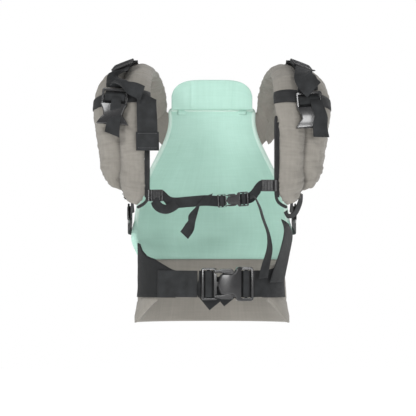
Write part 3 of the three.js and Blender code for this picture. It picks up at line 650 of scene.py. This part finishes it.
def swell(obj, voxel, pinned, pressure, cap):
    """Stuffs a closed piece: a short cloth simulation under pressure, with its seams pinned."""
    step = obj.modifiers.new("remesh", "REMESH")
    step.mode, step.voxel_size = "VOXEL", voxel * MM
    applied(obj)
    rest = coordinates(obj)
    pins = obj.vertex_groups.new(name="pins")
    held = np.nonzero(pinned(rest))[0]
    pins.add(held.tolist(), 1.0, "REPLACE")
    cloth = obj.modifiers.new("cloth", "CLOTH")
    settings = cloth.settings
    settings.quality = 6
    settings.mass = 0.25
    settings.tension_stiffness = settings.compression_stiffness = 12
    settings.shear_stiffness = 4
    settings.bending_stiffness = 0.3
    settings.shrink_min = -0.035
    settings.use_pressure = True
    settings.uniform_pressure_force = pressure
    settings.vertex_group_mass = "pins"
    settings.effector_weights.gravity = 0
    cloth.collision_settings.use_self_collision = False
    scene.frame_start, scene.frame_end = 1, 20
    for number in range(1, 21):
        scene.frame_set(number)
    applied(obj)
    scene.frame_set(1)
    moved = coordinates(obj) - rest
    far = np.linalg.norm(moved, axis=1, keepdims=True)
    move_to(obj, rest + moved * np.minimum(1, cap * MM / np.maximum(far, 1e-9)))
    obj.vertex_groups.clear()
    return obj


def wrinkle(place_mm, seed, amount):
    """Shallow creases that run across the pad, in mm."""
    t_mm, u_mm = place_mm
    fold = noise.noise(Vector((t_mm * 0.075, u_mm * 0.016, seed)))
    fine = noise.noise(Vector((t_mm * 0.22, u_mm * 0.03, seed + 7)))
    return amount * (fold * 1.5 + fine * 0.9)


def shoulder_pads():
    shares = list(np.linspace(0, 1, 27))
    rings = [pad_ring(t, -0.4, shares, 3.0) for t in np.linspace(0, 1, 84)]
    base = skin("pad_base", rings)
    where = PadMap()

    def pinned(places):
        t, u = where.shares(places / MM).T
        seam = (np.abs(u - 0.5) < 0.05) | (np.minimum(u, 1 - u) < 0.04)
        band = (t > KEEPER[0] - 0.03) & (t < KEEPER[1] + 0.03)
        return seam | band | (t < 0.03)

    swell(base, 4.0, pinned, 4.0, 5.0)
    subdivide(base, 1)
    applied(base)
    places = coordinates(base)
    keys, seam = where.shares(places / MM), where.from_valley(places / MM)
    for side, sign, seed in (("right", 1, 3.1), ("left", -1, 8.6)):
        finish_pad(base, side, sign, seed, keys, seam)
    bpy.data.objects.remove(base)


def finish_pad(base, side, sign, seed, keys, seam):
    """One pad from the stuffed base: its creases, its sewn valley with painted shade along it and its own
    coordinates.
    """
    obj = bpy.data.objects.new(side + "_shoulder_pad", base.data.copy())
    scene.collection.objects.link(obj)
    t = keys[:, 0]
    free = 1 - np.exp(-(((t - KEEPER_MIDDLE) / 0.05) ** 2))
    creases = [wrinkle((a * PAD_LENGTH, b * PAD_WIDTH), seed, 1.1) for a, b in keys]
    begun = np.clip((t - 0.05) / 0.08, 0, 1)
    cut, sink = [deep * np.exp(-((seam / wide) ** 2)) for deep, wide in (VALLEY_CUT, VALLEY_SINK)]
    sunk = cut + sink
    shift = free * creases - sunk * begun
    moved = (coordinates(base) + normals(base) * shift[:, None] * MM) * (sign, 1, 1)
    move_to(obj, moved)
    # Painted shade along the sewn valley, fading within SEAM_SHADE of it
    write_valley_shade(obj, np.exp(-((seam / SEAM_SHADE) ** 2)) * begun)
    write_uv(obj, keys * (PAD_LENGTH * MM, PAD_WIDTH * MM))
    if sign < 0:
        obj.data.flip_normals()
    place(obj, "harness", "taupe", side + "_shoulder_pad_cover", side + "_shoulder_pad_foam")


def write_uv(obj, per_vertex):
    layer = obj.data.uv_layers.get("UVMap") or obj.data.uv_layers.new(name="UVMap")
    corners = np.empty(len(obj.data.loops), np.int32)
    obj.data.loops.foreach_get("vertex_index", corners)
    layer.data.foreach_set("uv", np.array(per_vertex, np.float32)[corners].ravel())


def pad_trim(side):
    """Rail, its sewn-in flange and the elastic keeper on one pad."""
    flip = 1 if side == "right" else -1
    x, y, low, high = RAIL_X, RAIL_Y, RAIL_LOW, RAIL_HIGH
    route = [(x + 1, y + 2, high + 14)] + [(x, y, mix(high, low, k / 4)) for k in range(5)]
    route[-1] = (x + 1.5, y, low + 6)
    route += [(x + dx, y + dy, low + dz) for dx, dy, dz in RAIL_BEND]
    route = [(flip * p[0], p[1], p[2]) for p in route]
    tube(side + "_rail_piping", "harness", route, RAIL_RADIUS, "elastic", side + "_rail")
    rows = [(flip * (x + 3.4), y + 0.4, z, 1, 0, 0) for z in (high + 2, 250, 200, low + 8)]
    strap(side + "_rail_flange", None, "harness", rows, RAIL_FLANGE, 40, "elastic", ripple=0.1)

    shares = list(np.linspace(0, 1, 41))
    rings = []
    for t, grow in ((0, 0.5), (0, 2.6), (0.25, 2.9), (0.5, 2.6), (0.75, 2.9), (1, 2.6), (1, 0.5)):
        ring = pad_ring(mix(KEEPER[0] - 0.002, KEEPER[1] + 0.002, t), grow, shares)
        rings.append([(flip * p[0], p[1], p[2]) for p in ring])
    band = skin(side + "_elastic_band", rings, closed_ends=False)
    place(band, "harness", "elastic", side + "_elastic_keeper")


def tube(name, body, points, radius, material, *nodes, sides=12, steps=60):
    """A round cord through points, closed at both ends."""
    curve = spline(points)
    rings = []
    side = None
    for t in np.linspace(0, 1, steps + 1):
        ahead = heading(curve, t)
        side = np.cross(ahead, (0.3, 1, 0.2)) if side is None else side - ahead * side.dot(ahead)
        side = unit(side)
        up = np.cross(ahead, side)
        thin = radius * (0.55 + 0.45 * min(1, math.sin(math.pi * t) * 14))
        rings.append(round_ring(curve(t), side, up, thin, sides))
    return place(skin(name, rings), body, material, *nodes)


# ------------------------------------------------------------------ buckles
def stand(position, along_x, face_z):
    x = unit(np.array(along_x, float))
    y = unit(np.cross(face_z, x))
    matrix = np.eye(4)
    matrix[:3, 0], matrix[:3, 1], matrix[:3, 2], matrix[:3, 3] = x, y, np.cross(x, y), position
    return matrix


MIRROR = np.diag([-1, 1, 1, 1])
WAIST = stand((10, -121, 0), (1, 0.152, 0), (0.152, -1, 0))
CHEST_AT = stand((27.5, -122, 156), (0.996, 0, 0.087), (0, -1, 0))
TOP = stand((168, -66, 411), (0.4, -0.76, -0.51), (0.5, -0.28, 0.82))
ARM = stand((157, -42, 132), (0, 0.93, -0.37), (1, 0, 0))
HANGING = {
    "right": stand((186, -129, 292), (-0.09, 0.12, 0.985), (0.12, -0.98, 0.13)),
    "left": MIRROR @ stand((186, -129, 298), (-0.09, 0.12, 0.985), (0.12, -0.98, 0.13)),
}


def at(matrix, x, y, z):
    return (matrix @ np.array((x, y, z, 1.0)))[:3]


def local_rows(matrix, rows):
    """Rows of a strap drawn in a buckle's own frame, brought into the whole part."""
    return [(*at(matrix, *row[:3]), *(matrix[:3, :3] @ np.array(row[3:], float))) for row in rows]


def ladder(spec):
    return 2 * spec["slot"] + spec["bar"] + spec["rim"]


def under(spec, webbing):
    return -spec["frame"] / 2 - GAP - webbing[1] / 2


def over_bar(spec, x, way, webbing):
    """Webbing that comes up through a ladder's first slot, over its bar and down again."""
    slot, bar = spec["slot"], spec["bar"]
    low, high = under(spec, webbing), spec["frame"] * 0.18 + GAP + webbing[1] / 2
    steps = [
        (0, low),
        (slot * 0.34, low + 0.35),
        (slot * 0.66, high - 0.35),
        (slot + bar / 2, high),
        (slot * 1.34 + bar, high - 0.35),
        (slot * 1.66 + bar, low + 0.35),
        (2 * slot + bar, low),
    ]
    return [(x + way * d, 0, z, 0, 1, 0) for d, z in steps]


def moulded(node, body, matrix, voxel=0.5, crown=0.0, half=20.0, rounds=3, keep=0.5, bow=None):
    """A moulded piece from its CAD solid: rounded edges and a crowned face, bowed along too if asked."""
    obj = bpy.data.objects.new(node + "_moulded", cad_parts[node].data.copy())
    scene.collection.objects.link(obj)
    step = obj.modifiers.new("remesh", "REMESH")
    step.mode, step.voxel_size = "VOXEL", voxel * MM
    step = obj.modifiers.new("smooth", "SMOOTH")
    step.factor, step.iterations = 0.6, rounds
    applied(obj)
    places = coordinates(obj) / MM
    back = np.linalg.inv(matrix)
    own = places @ back[:3, :3].T + back[:3, 3]
    own[:, 2] += crown * np.clip(1 - (own[:, 1] / half) ** 2, -1, 1) * np.clip(own[:, 2] / 3, 0, 1)
    if bow:
        high, middle, reach = bow
        arch = np.clip(1 - ((own[:, 0] - middle) / reach) ** 2, 0, 1)
        own[:, 2] += high * arch * np.clip(own[:, 2] / 3, 0, 1)
    move_to(obj, (own @ matrix[:3, :3].T + matrix[:3, 3]) * MM)
    step = obj.modifiers.new("thin", "DECIMATE")
    step.ratio = keep
    applied(obj)
    return place(obj, body, "plastic", node)


def waist_hardware():
    moulded("waist_socket", "waist_socket", WAIST, crown=0.8, half=31, bow=(2.6, 20, 26))
    moulded("waist_plug", "harness", WAIST, crown=0.6, half=30)
    moulded("waist_prong_upper", "waist_prong_upper", WAIST)
    moulded("waist_prong_lower", "waist_prong_lower", WAIST)


def belt_rows(first, last):
    rows = []
    for k in range(6):
        turn = mix(first, last, k / 5)
        top, low = [around_trunk(turn, z, BELT_OUT) for z in (BELT[0] / 2, -BELT[0] / 2)]
        rows.append((*((top + low) / 2), *(top - low)))
    return rows


def waist_webbing():
    spec, low = WAIST_BUCKLE, under(WAIST_BUCKLE, BELT)
    start = -0.15 * spec["w"]
    end = start - ladder(spec)
    bar = [(*at(WAIST, r[0], 0, r[2]), 0, 0, 1) for r in over_bar(spec, start, -1, BELT)]
    beside = [(*at(WAIST, end + far, 0, low - 0.1), 0, 0, 1) for far in (-5, 0.5)]
    rows = belt_rows(-0.78, -0.36) + beside + bar[::-1]
    strap("left_waist_run", "left_waist_webbing", "harness", rows, BELT, 90)

    far = spec["body"] + ladder(spec)
    rows = local_rows(WAIST, over_bar(spec, spec["body"], 1, BELT) + [(far + 4, 0, low, 0, 1, 0)])
    strap("socket_loop", "waist_socket_loop", "waist_socket", rows, BELT, 36)
    rows = [(*at(WAIST, far - 8, 0, low - 5), 0, 0, 1)] + belt_rows(0.72, 1.2)
    strap("right_waist_run", "right_waist_webbing", "harness", rows, BELT, 50)

    for node, x, z, depth in (("waist_tail_long", -28, -30, -17.3), ("waist_tail_short", 0, -23, -19.8)):
        rows = [(x + far, z + 0.8 * far, depth, -0.63, 0.77, 0) for far in (40, 20, 0)]
        strap(node + "_end", node, "harness", local_rows(WAIST, rows), BELT, 24, ripple=0.8)
    rows = [
        (*around_trunk(0.98, 2, BELT_OUT + 3), 0.56, 0.83, 0),
        (*around_trunk(1.08, 34, BELT_OUT + 4), 0.5, 0.86, 0.1),
        (140, -48, 70, 0.42, 0.9, 0.12),
        (144, -48, 98, 0.32, 0.93, -0.1),
        (138, -50, 116, 0.3, 0.94, -0.2),
    ]
    strap("right_standing_tail", "right_waist_tail", "harness", rows, BELT, 50, cup=0.8)


def shoulder_straps(side):
    flip = MIRROR if side == "left" else np.eye(4)
    top, hanging = flip @ TOP, HANGING[side]
    spec, adjuster, socket = SHOULDER_BUCKLE, side + "_top_adjuster", side + "_shoulder_socket"
    moulded(adjuster, adjuster, top, voxel=0.4, crown=0.5, half=24, rounds=2, keep=0.7)
    rows = over_bar(TOP_ADJUSTER, -TOP_ADJUSTER["bar"] / 2 - TOP_ADJUSTER["slot"], 1, STRAP)
    strap(side + "_ladder_turn", side + "_adjuster_webbing", adjuster, local_rows(top, rows), STRAP, 30)
    moulded(socket, socket, hanging, crown=1.2, half=26, bow=(1.6, 16, 22))
    rows = local_rows(hanging, over_bar(spec, spec["body"], 1, STRAP))
    strap(side + "_socket_wrap", side + "_socket_webbing", socket, rows, STRAP, 30)

    layer = under(TOP_ADJUSTER, STRAP) - STRAP[1] - GAP
    far, low = spec["body"] + ladder(spec), under(spec, STRAP)
    rows = []
    for t in (0.04, 0.12, 0.2, 0.27):
        point = on_pad(t, 0.47, PAD_THICK / 2 * pad_fullness(t) + 2)
        rows.append((*(flip[:3, :3] @ point), *(flip[:3, :3] @ pad_frame(t)[1])))
    rows += local_rows(top, [(along, 0, layer, 0, -1, 0) for along in (-16, -8, 0, 8, 16, 22)])
    rows += local_rows(hanging, [(far + 14, 0, low + 4, 0, -1, 0), (far + 2, 0, low, 0, -1, 0)])
    strap(side + "_shoulder_run", side + "_shoulder_webbing", "harness", rows, STRAP, 110)

    over = spec["thick"] / 2 + GAP + 1.2
    aside, slant, narrow = (4, -0.32, 15) if side == "left" else (-13.6, 0.1, 22)
    rows = [
        (50, aside, 5, 0, 1, 0),
        (40, aside, over + 1, 0.1, 1, 0),
        (18, aside * 1.3, over, 0.06, 1, 0),
        (-2, aside - 1, over + 1, slant / 2, 1, 0.1),
        (-20, aside - 2, over - 1, slant, 1, 0),
    ]
    rows, webbing = local_rows(hanging, rows), (narrow, STRAP[1])
    strap(side + "_short_end", side + "_short_tail", socket, rows, webbing, 36, end_width=30, ripple=1.4)


def shoulder_tails():
    rows = [
        (-191, -133, 371, 0, 1, 0),
        (-184, -135, 376, 0, 1, 0.2),
        (-172, -138, 375, 0, 0.85, 0.5),
        (-156, -142, 366, 0, 0.3, 0.95),
        (-141, -143, 361, 0, 0, 1),
        (-130, -142.5, 353, 0.3, 0, 0.95),
    ]
    body, webbing = "left_shoulder_socket", (12, STRAP[1])
    strap("left_fold", "left_tail_fold", body, rows, webbing, 60, end_width=34, cup=1.2, ripple=1.2)
    rows = [
        (-121, -134, 352, -0.9, 0, 0.42),
        (-122, -138, 334, -0.97, 0, 0.22),
        (-121, -138.5, 305, -1, 0, 0.03),
        (-120, -138, 250, -1, 0, 0),
    ]
    strap("left_hanging_end", "left_long_tail", body, rows, STRAP, 60, cup=1.0, ripple=1.0)
    for row in (281, 254):
        points = [(x, -141.6, row) for x in (-138, -120, -102)]
        name = f"left_hem_stitching_{row}"
        stitches(name, body, points, (0, -1, 0), radius=0.4, thread="hem_thread")
    rows = [(-120.5, -138, 284, -1, 0, 0), (-120.2, -138, 266, -1, 0, 0), (-120, -138, 249, -1, 0, 0)]
    strap("left_hem", None, body, rows, (43, 5), 12, cup=0.3)
    rows = [
        (175, -103, 403, 0.97, 0, -0.25),
        (173, -120, 396, 0.95, 0.1, 0.1),
        (171, -134, 389, 0.85, 0, 0.45),
        (173, -141, 381, 0.74, 0.1, 0.64),
        (181, -143.5, 371, 0.7, 0, 0.7),
        (190, -143, 362, 0.66, -0.1, 0.74),
    ]
    strap("right_gathered_end", "right_folded_tail", "harness", rows, STRAP, 50, cup=1.5, ripple=2.0)


def chest_strap():
    moulded("chest_socket", "chest_socket", CHEST_AT, voxel=0.4, crown=0.9, half=12.5)
    moulded("chest_plug", "chest_strap", CHEST_AT, voxel=0.4, crown=0.3, half=12)
    moulded("chest_prong_upper", "chest_prong_upper", CHEST_AT, voxel=0.35)
    moulded("chest_prong_lower", "chest_prong_lower", CHEST_AT, voxel=0.35)
    for side, height in CLIP_HEIGHT.items():
        clip = stand((0, RAIL_Y, height), (1, 0, 0), (0, -1, 0))
        moulded(side + "_chest_slider", "chest_strap", clip, voxel=0.45)

    spec = CHEST_BUCKLE
    bar = local_rows(CHEST_AT, [(*r[:3], 0, 1, 0) for r in over_bar(spec, -0.15 * spec["w"], -1, CHEST)])
    clip_x, left, right = RAIL_X - 19, CLIP_HEIGHT["left"], CLIP_HEIGHT["right"]
    rows = [
        (-clip_x, RAIL_Y, left, 0, 0, 1),
        (-clip_x + 8, RAIL_Y, left, 0, 0, 1),
        (-78, -118, 153, 0.15, 0, 1),
        (-45, -118, 153.5, -0.08, 0, 1),
        (-14, -118.6, 156, 0.05, 0, 1),
    ] + bar[::-1]
    strap("left_chest_run", "left_chest_webbing", "chest_strap", rows, CHEST, 90, cup=0.4)
    rows = local_rows(CHEST_AT, over_bar(spec, spec["body"], 1, CHEST))
    strap("chest_socket_turn", "chest_socket_webbing", "chest_socket", rows, CHEST, 30)
    rows = [
        (62, -114, 159, -0.1, 0, 1),
        (74, -115, 163, -0.3, 0, 1),
        (86, -115.6, 178, -0.35, 0, 1),
        (clip_x - 8, RAIL_Y, right, 0, 0, 1),
        (clip_x, RAIL_Y, right, 0, 0, 1),
    ]
    strap("right_chest_run", "right_chest_webbing", "chest_strap", rows, CHEST, 40)


# Each loose tail: the body it rides on, its width and thickness, and its rows.
LOOSE_TAILS = {
    "chest_slack_loop": (
        "chest_strap",
        (18, 1.5),
        [
            (-107, -127, 157, 0.77, 0, 0.63),
            (-103, -128.5, 148, 0.8, 0.1, 0.55),
            (-96, -129.5, 142, 0.45, 0.2, 0.85),
            (-86, -129.5, 139.5, 0, 0.3, 0.95),
            (-76, -128.5, 143, -0.4, 0.2, 0.88),
            (-66, -126.5, 150, -0.55, 0.1, 0.83),
        ],
    ),
    "chest_short_tail": (
        "chest_strap",
        CHEST,
        [
            (-2, -127, 160, 0.35, 0, 0.94),
            (-22, -127, 152, 0.55, 0.1, 0.83),
            (-34, -127, 134, 0.88, 0.3, 0.4),
            (-38, -127, 117, 0.66, 0.74, -0.1),
            (-43, -126, 104, 0.8, 0.2, -0.55),
            (-52, -125, 91, 0.72, 0, -0.69),
        ],
    ),
    "chest_long_tail": (
        "chest_socket",
        CHEST,
        [
            (71, -129, 163, 0.1, 0.8, 0.55),
            (79, -130, 162, 0.1, 0.97, 0.1),
            (88, -128, 146, 0.2, 0.97, 0),
            (95, -113, 124, 0.25, 0.96, 0),
            (106, -88, 92, 0.3, 0.95, 0),
            (108, -86, 66, 0.55, 0.83, 0),
            (101, -91, 36, 0.78, 0.6, 0.1),
            (95, -96, 10, 0.88, 0.45, 0.1),
        ],
    ),
    "right_underarm_tail": (
        "harness",
        (16, 1.5),
        [
            (163, -60, 150, 0.2, 1, 0),
            (168, -74, 168, 0.3, 1, 0),
            (165, -78, 152, 0.5, 0.8, -0.2),
            (155, -80, 131, 0.4, 0.8, -0.4),
            (143, -82, 127, 0, 0.8, -0.5),
            (138, -82, 136, -0.4, 0.8, -0.3),
        ],
    ),
}


def loose_tails():
    for node, (body, webbing, rows) in LOOSE_TAILS.items():
        strap(node + "_strap", node, body, rows, webbing, 60)


def underarm_straps(side):
    flip = MIRROR if side == "left" else np.eye(4)
    holder, adjuster = flip @ ARM, side + "_underarm_adjuster"
    moulded(adjuster, adjuster, holder, voxel=0.4)
    rows = over_bar(SIDE_ADJUSTER, -SIDE_ADJUSTER["bar"] / 2 - SIDE_ADJUSTER["slot"], 1, SIDE)
    strap(side + "_underarm_turn", side + "_underarm_loop", adjuster, local_rows(holder, rows), SIDE, 30)
    layer = under(SIDE_ADJUSTER, SIDE) - SIDE[1] - GAP
    rows = [(147, -92, 146, 0.1, 0.3, 0.95)]
    rows += [(*at(ARM, along, 0, layer), 0, 0.37, 0.93) for along in (-26, 0, 34)]
    rows += [(158, 12, 111, 0, 0.3, 0.95), (159, 32, 105, 0, 0.1, 0.99), (153, 52, 103, 0, 0, 1)]
    rows = [(*(flip[:3, :3] @ np.array(r[:3])), *(flip[:3, :3] @ np.array(r[3:]))) for r in rows]
    strap(side + "_underarm_run", side + "_underarm_webbing", "harness", rows, SIDE, 70)


# ------------------------------------------------------------------ front panel
def panel_turn(k):
    return mix(1.36, 0.5, smoothstep(k, 0.12, 0.96))


def side_word(side):
    return "right" if side > 0 else "left"


def on_panel(u, k, lift):
    z = mix(PANEL_LOW, PANEL_HIGH, k)
    belly = 24 * math.sin(math.pi * min(1, k * 1.05)) * (1 - u * u)
    off = mix(4, PANEL_OFF, smoothstep(k, 0, 0.16))
    return around_trunk(math.pi - u * panel_turn(k), z, off + belly + lift)


def sheet_piece(name, surface, across, up, thick):
    """A thin closed piece over surface(u, k, thick) for shares across and up."""
    inner = [[surface(u, k, 0.0) for u in across] for k in up]
    outer = [[surface(u, k, thick) for u in across] for k in up]
    rings = [low + high[::-1] for low, high in zip(inner, outer)]
    return skin(name, rings)


def front_panel():
    across = list(np.linspace(-1, 1, 57))
    up = list(np.linspace(0, 1, 81))

    def surface(u, k, thick):
        """Quilted a little between its darts, hem and side seams."""
        lines = min(abs(abs(u) - 0.45) * 150, (1 - abs(u)) * 150, k * 280, (1 - k) * 280)
        puff = 1.4 * (1 - math.exp(-((lines / 7) ** 2))) if thick else 0.0
        crease = 0.7 * noise.noise(Vector((u * 2.2, k * 11, 2.0)))
        return on_panel(u, k, thick + puff + crease - 0.4)

    obj = sheet_piece("front_body_panel", surface, across, up, PANEL_THICK - 0.6)
    place(obj, "harness", "mint", "front_panel")
    no_valley_shade(obj)
    for side in (1, -1):
        binding(side_word(side) + "_panel_binding", [on_panel(side, k, 2) for k in np.linspace(0.0, 1, 24)])
        for lift, row in ((0.45, "dart"), (0.94, "edge")):
            points = [on_panel(side * lift, k, PANEL_THICK + 1.2) for k in np.linspace(0.03, 0.97, 30)]
            label = f"{side_word(side)}_{row}_stitching"
            stitches(label, "harness", points, outward, thread="taupe_thread")
    binding("top_binding", [on_panel(u, 1, 2) for u in np.linspace(-1, 1, 24)])


def binding(name, points):
    """Folded tape over an edge of the panel."""
    tube(name, "harness", points, 4.0, "binding", sides=14, steps=60)


def pad_gusset(side):
    """The cloth that joins a pad's front end to the panel's top corner."""
    rings = []
    for s in np.linspace(0, 1, 21):
        low, high = pad_frame(0.035), on_panel(side, mix(0.97, 0.76, s), 2)
        start = (low[0] + low[1] * mix(0.1, 0.85, s) + low[3] * 3) * (side, 1, 1)
        across = unit(high - start)
        out = unit(np.cross(across, (0, side * 0.3, 1))) * 1.3
        path = [mix(start, high, k) + out * 1.6 * math.sin(math.pi * k) for k in np.linspace(0, 1, 13)]
        rings.append([p + out for p in path] + [p - out for p in path[::-1]])
    obj = place(skin(side_word(side) + "_pad_gusset", rings), "harness", "taupe")
    no_valley_shade(obj)


def leg_roll(side):
    points = []
    for k in np.linspace(0.02, 0.26, 9):
        edge, inside = on_panel(side, k, 2), on_panel(side * 0.97, k, 2)
        points.append(edge + unit(edge - inside) * 7.7)
    name = side_word(side) + "_leg_roll"
    curve = spline(points)
    rings = []
    for t in np.linspace(0, 1, 61):
        ahead = heading(curve, t)
        out = unit(np.cross(ahead, (0, 1, 0)))
        up = np.cross(ahead, out)
        gather = 1 + 0.035 * math.sin(t * 70) + 0.03 * noise.noise(Vector((t * 30, side, 0)))
        radius = 6.6 * gather * math.sqrt(max(0.12, math.sin(math.pi * (0.04 + 0.92 * t))))
        rings.append(round_ring(curve(t), out, up, radius, 24))
    obj = place(skin(name + "_roll", rings), "harness", "mint", name)
    no_valley_shade(obj)


def headrest():
    base = on_panel(0, 1, PANEL_THICK)[1]
    rings = []
    for k in np.linspace(0.003, 0.997, 61):
        u = 2 * k - 1
        round_off = math.sqrt(max(0.02, 1 - abs(u) ** 4))
        tall = HEADREST_TALL * (0.35 + 0.65 * round_off)
        x = 78 * u
        middle = base - HEADREST_BEND * x * x - HEADREST_THICK / 2
        half = HEADREST_THICK / 2 * (0.45 + 0.55 * round_off)
        quilt = 1 - 0.3 * math.exp(-(((abs(u) - 0.5) / 0.03) ** 2))
        ring = []
        for s in np.linspace(0, 1, 49)[:-1]:
            angle = 2 * math.pi * s
            puff = math.copysign(math.sqrt(abs(math.sin(angle))), math.sin(angle))
            crease = 0.5 * noise.noise(Vector((u * 6, s * 4, 5)))
            z = PANEL_HIGH + 1 + tall / 2 * (1 + math.cos(angle))
            ring.append((x, middle + half * quilt * puff + crease, z))
        rings.append(ring)
    obj = place(skin("head_support", rings), "headrest", "mint", "headrest")
    no_valley_shade(obj)
    head_hinge(base)


def head_hinge(base):
    """The cloth fold that joins the head support to the panel's top edge."""
    rings = []
    for x in np.linspace(-66, 66, 34):
        y = base - HEADREST_BEND * x * x - HEADREST_THICK / 2
        section = [(PANEL_HIGH + rise, lift) for rise, lift in ((-9, -1.0), (-3, -0.9), (3, -0.9), (9, -1.0))]
        outer = [(x, y + 7.2 + lift, z) for z, lift in section]
        inner = [(x, y + 6.2 + lift, z) for z, lift in section]
        rings.append(outer + inner[::-1])
    obj = skin("head_support_hinge", rings)
    place(obj, None, "mint")
    no_valley_shade(obj)
    start, end = [(0, (base - 8) * MM, (PANEL_HIGH + rise) * MM) for rise in (-5, 5)]
    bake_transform(obj)
    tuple(start)
    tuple(end)


# ------------------------------------------------------------------ waistband
def band_edges(turn):
    near = min(turn, 2 * math.pi - turn)
    high = mix(34, 44, smoothstep(near, BAND_END, 1.5))
    low = mix(-28, -75, smoothstep(near, BAND_END - 0.12, 1.45))
    return low, high, mix(8, BAND_THICK, smoothstep(near, 1.4, 2.6))


def band_fullness(turn, k, tall):
    """The band's share of its thickness: thin edges, two sewn channels and a faint unevenness."""
    profile = np.interp(k, [0, 0.1, 0.5, 0.9, 1], [0.3, 0.75, 1, 0.75, 0.3])
    lines = min(abs(k - share) for share in CHANNELS) * tall
    channel = 1 - 0.18 * math.exp(-((lines / 2.2) ** 2))
    return profile * channel + 0.05 * noise.noise(Vector((turn * 9, k * 3, 1)))


def waistband():
    rings = []
    shares = list(np.linspace(0, 1, 29))
    for turn in np.linspace(BAND_END, 2 * math.pi - BAND_END, 200):
        low, high, thick = band_edges(turn)
        full = [max(1.3, thick * band_fullness(turn, k, high - low)) for k in shares]
        inner = [around_trunk(turn, mix(low, high, k), 1) for k in shares]
        outer = [around_trunk(turn, mix(low, high, k), 1 + much) for k, much in zip(shares, full)]
        rings.append(inner + outer[::-1])
    obj = skin("waistband", rings)
    no_valley_shade(obj)
    place(obj, "harness", "taupe", "waistband_cover", "waistband_foam")
    for label, share in zip(("lower", "upper"), CHANNELS):
        points = []
        for turn in np.linspace(BAND_END + 0.1, 2 * math.pi - BAND_END - 0.1, 60):
            low, high, thick = band_edges(turn)
            points.append(around_trunk(turn, mix(low, high, share), 1.2 + thick * 0.8))
        name = "waistband_" + label + "_stitching"
        stitches(name, "harness", points, outward, thread="taupe_thread")


def wing(side, first, last, top_at):
    """Black reinforcement cloth on a waistband's end, creased where the belt pulls on it."""
    flip = 1 if side == "right" else -1
    low = -BELT[0] / 2 - 1

    def surface(s, k, thick):
        turn = first + (last - first) * k
        z = mix(low, top_at(turn), s)
        crease = 0.5 * noise.noise(Vector((turn * 7, z * 0.05, flip)))
        point = around_trunk(turn, z, WING_OUT + thick + crease)
        return point * (flip, 1, 1)

    across, along = list(np.linspace(0, 1, 15)), [k / 40 for k in range(41)]
    obj = sheet_piece(side + "_wing_cloth", surface, across, along, WING_THICK)
    return place(obj, "harness", "cloth", side + "_wing")


# ------------------------------------------------------------------ assembly
set_stage()
LOOKS = {
    # Each cloth's third colour is the painted shade along the pads' sewn valley
    "taupe": woven(
        "taupe_canvas", (0.262, 0.246, 0.218), (0.165, 0.155, 0.137), (0.02, 0.018, 0.015), slub=0.3
    ),
    "mint": woven("mint_canvas", (0.50, 0.74, 0.65), (0.36, 0.58, 0.49), (0.2, 0.32, 0.28)),
    "binding": woven("pale_binding", (0.66, 0.82, 0.75), (0.52, 0.7, 0.62), (0.3, 0.4, 0.35)),
    "webbing": ribbed("black_webbing", (0.024, 0.026, 0.028), (0.005, 0.0055, 0.006)),
    "elastic": ribbed(
        "black_elastic", (0.026, 0.027, 0.028), (0.007, 0.007, 0.008), 1.2 * MM, 2.2 * MM
    ),
    "cloth": woven(
        "black_cloth", (0.016, 0.017, 0.018), (0.006, 0.0065, 0.007), (0.01, 0.01, 0.01), sheen=0.04
    ),
    "plastic": moulded_plastic("black_plastic", (0.007, 0.007, 0.008), (0.03, 0.03, 0.032), 0.2),
    "black_thread": thread_material("black_thread", (0.03, 0.03, 0.032), (0.012, 0.012, 0.012)),
    "hem_thread": thread_material("grey_thread", (0.16, 0.165, 0.17), (0.08, 0.082, 0.084)),
    "taupe_thread": thread_material("taupe_thread", (0.5, 0.47, 0.42), (0.3, 0.28, 0.25)),
}

shoulder_pads()
for side in ("right", "left"):
    pad_trim(side)
    shoulder_straps(side)
    underarm_straps(side)
shoulder_tails()
chest_strap()
loose_tails()
waist_hardware()
waist_webbing()
front_panel()
for side in (1, -1):
    leg_roll(side)
    pad_gusset(side)
headrest()
waistband()
wing("right", 0.72, 1.3, lambda turn: 26 + 8 * smoothstep(turn, 0.8, 1.2))
wing("left", 0.5, 1.42, lambda turn: np.interp(turn, LEFT_WING_TURNS, LEFT_WING_TOP))
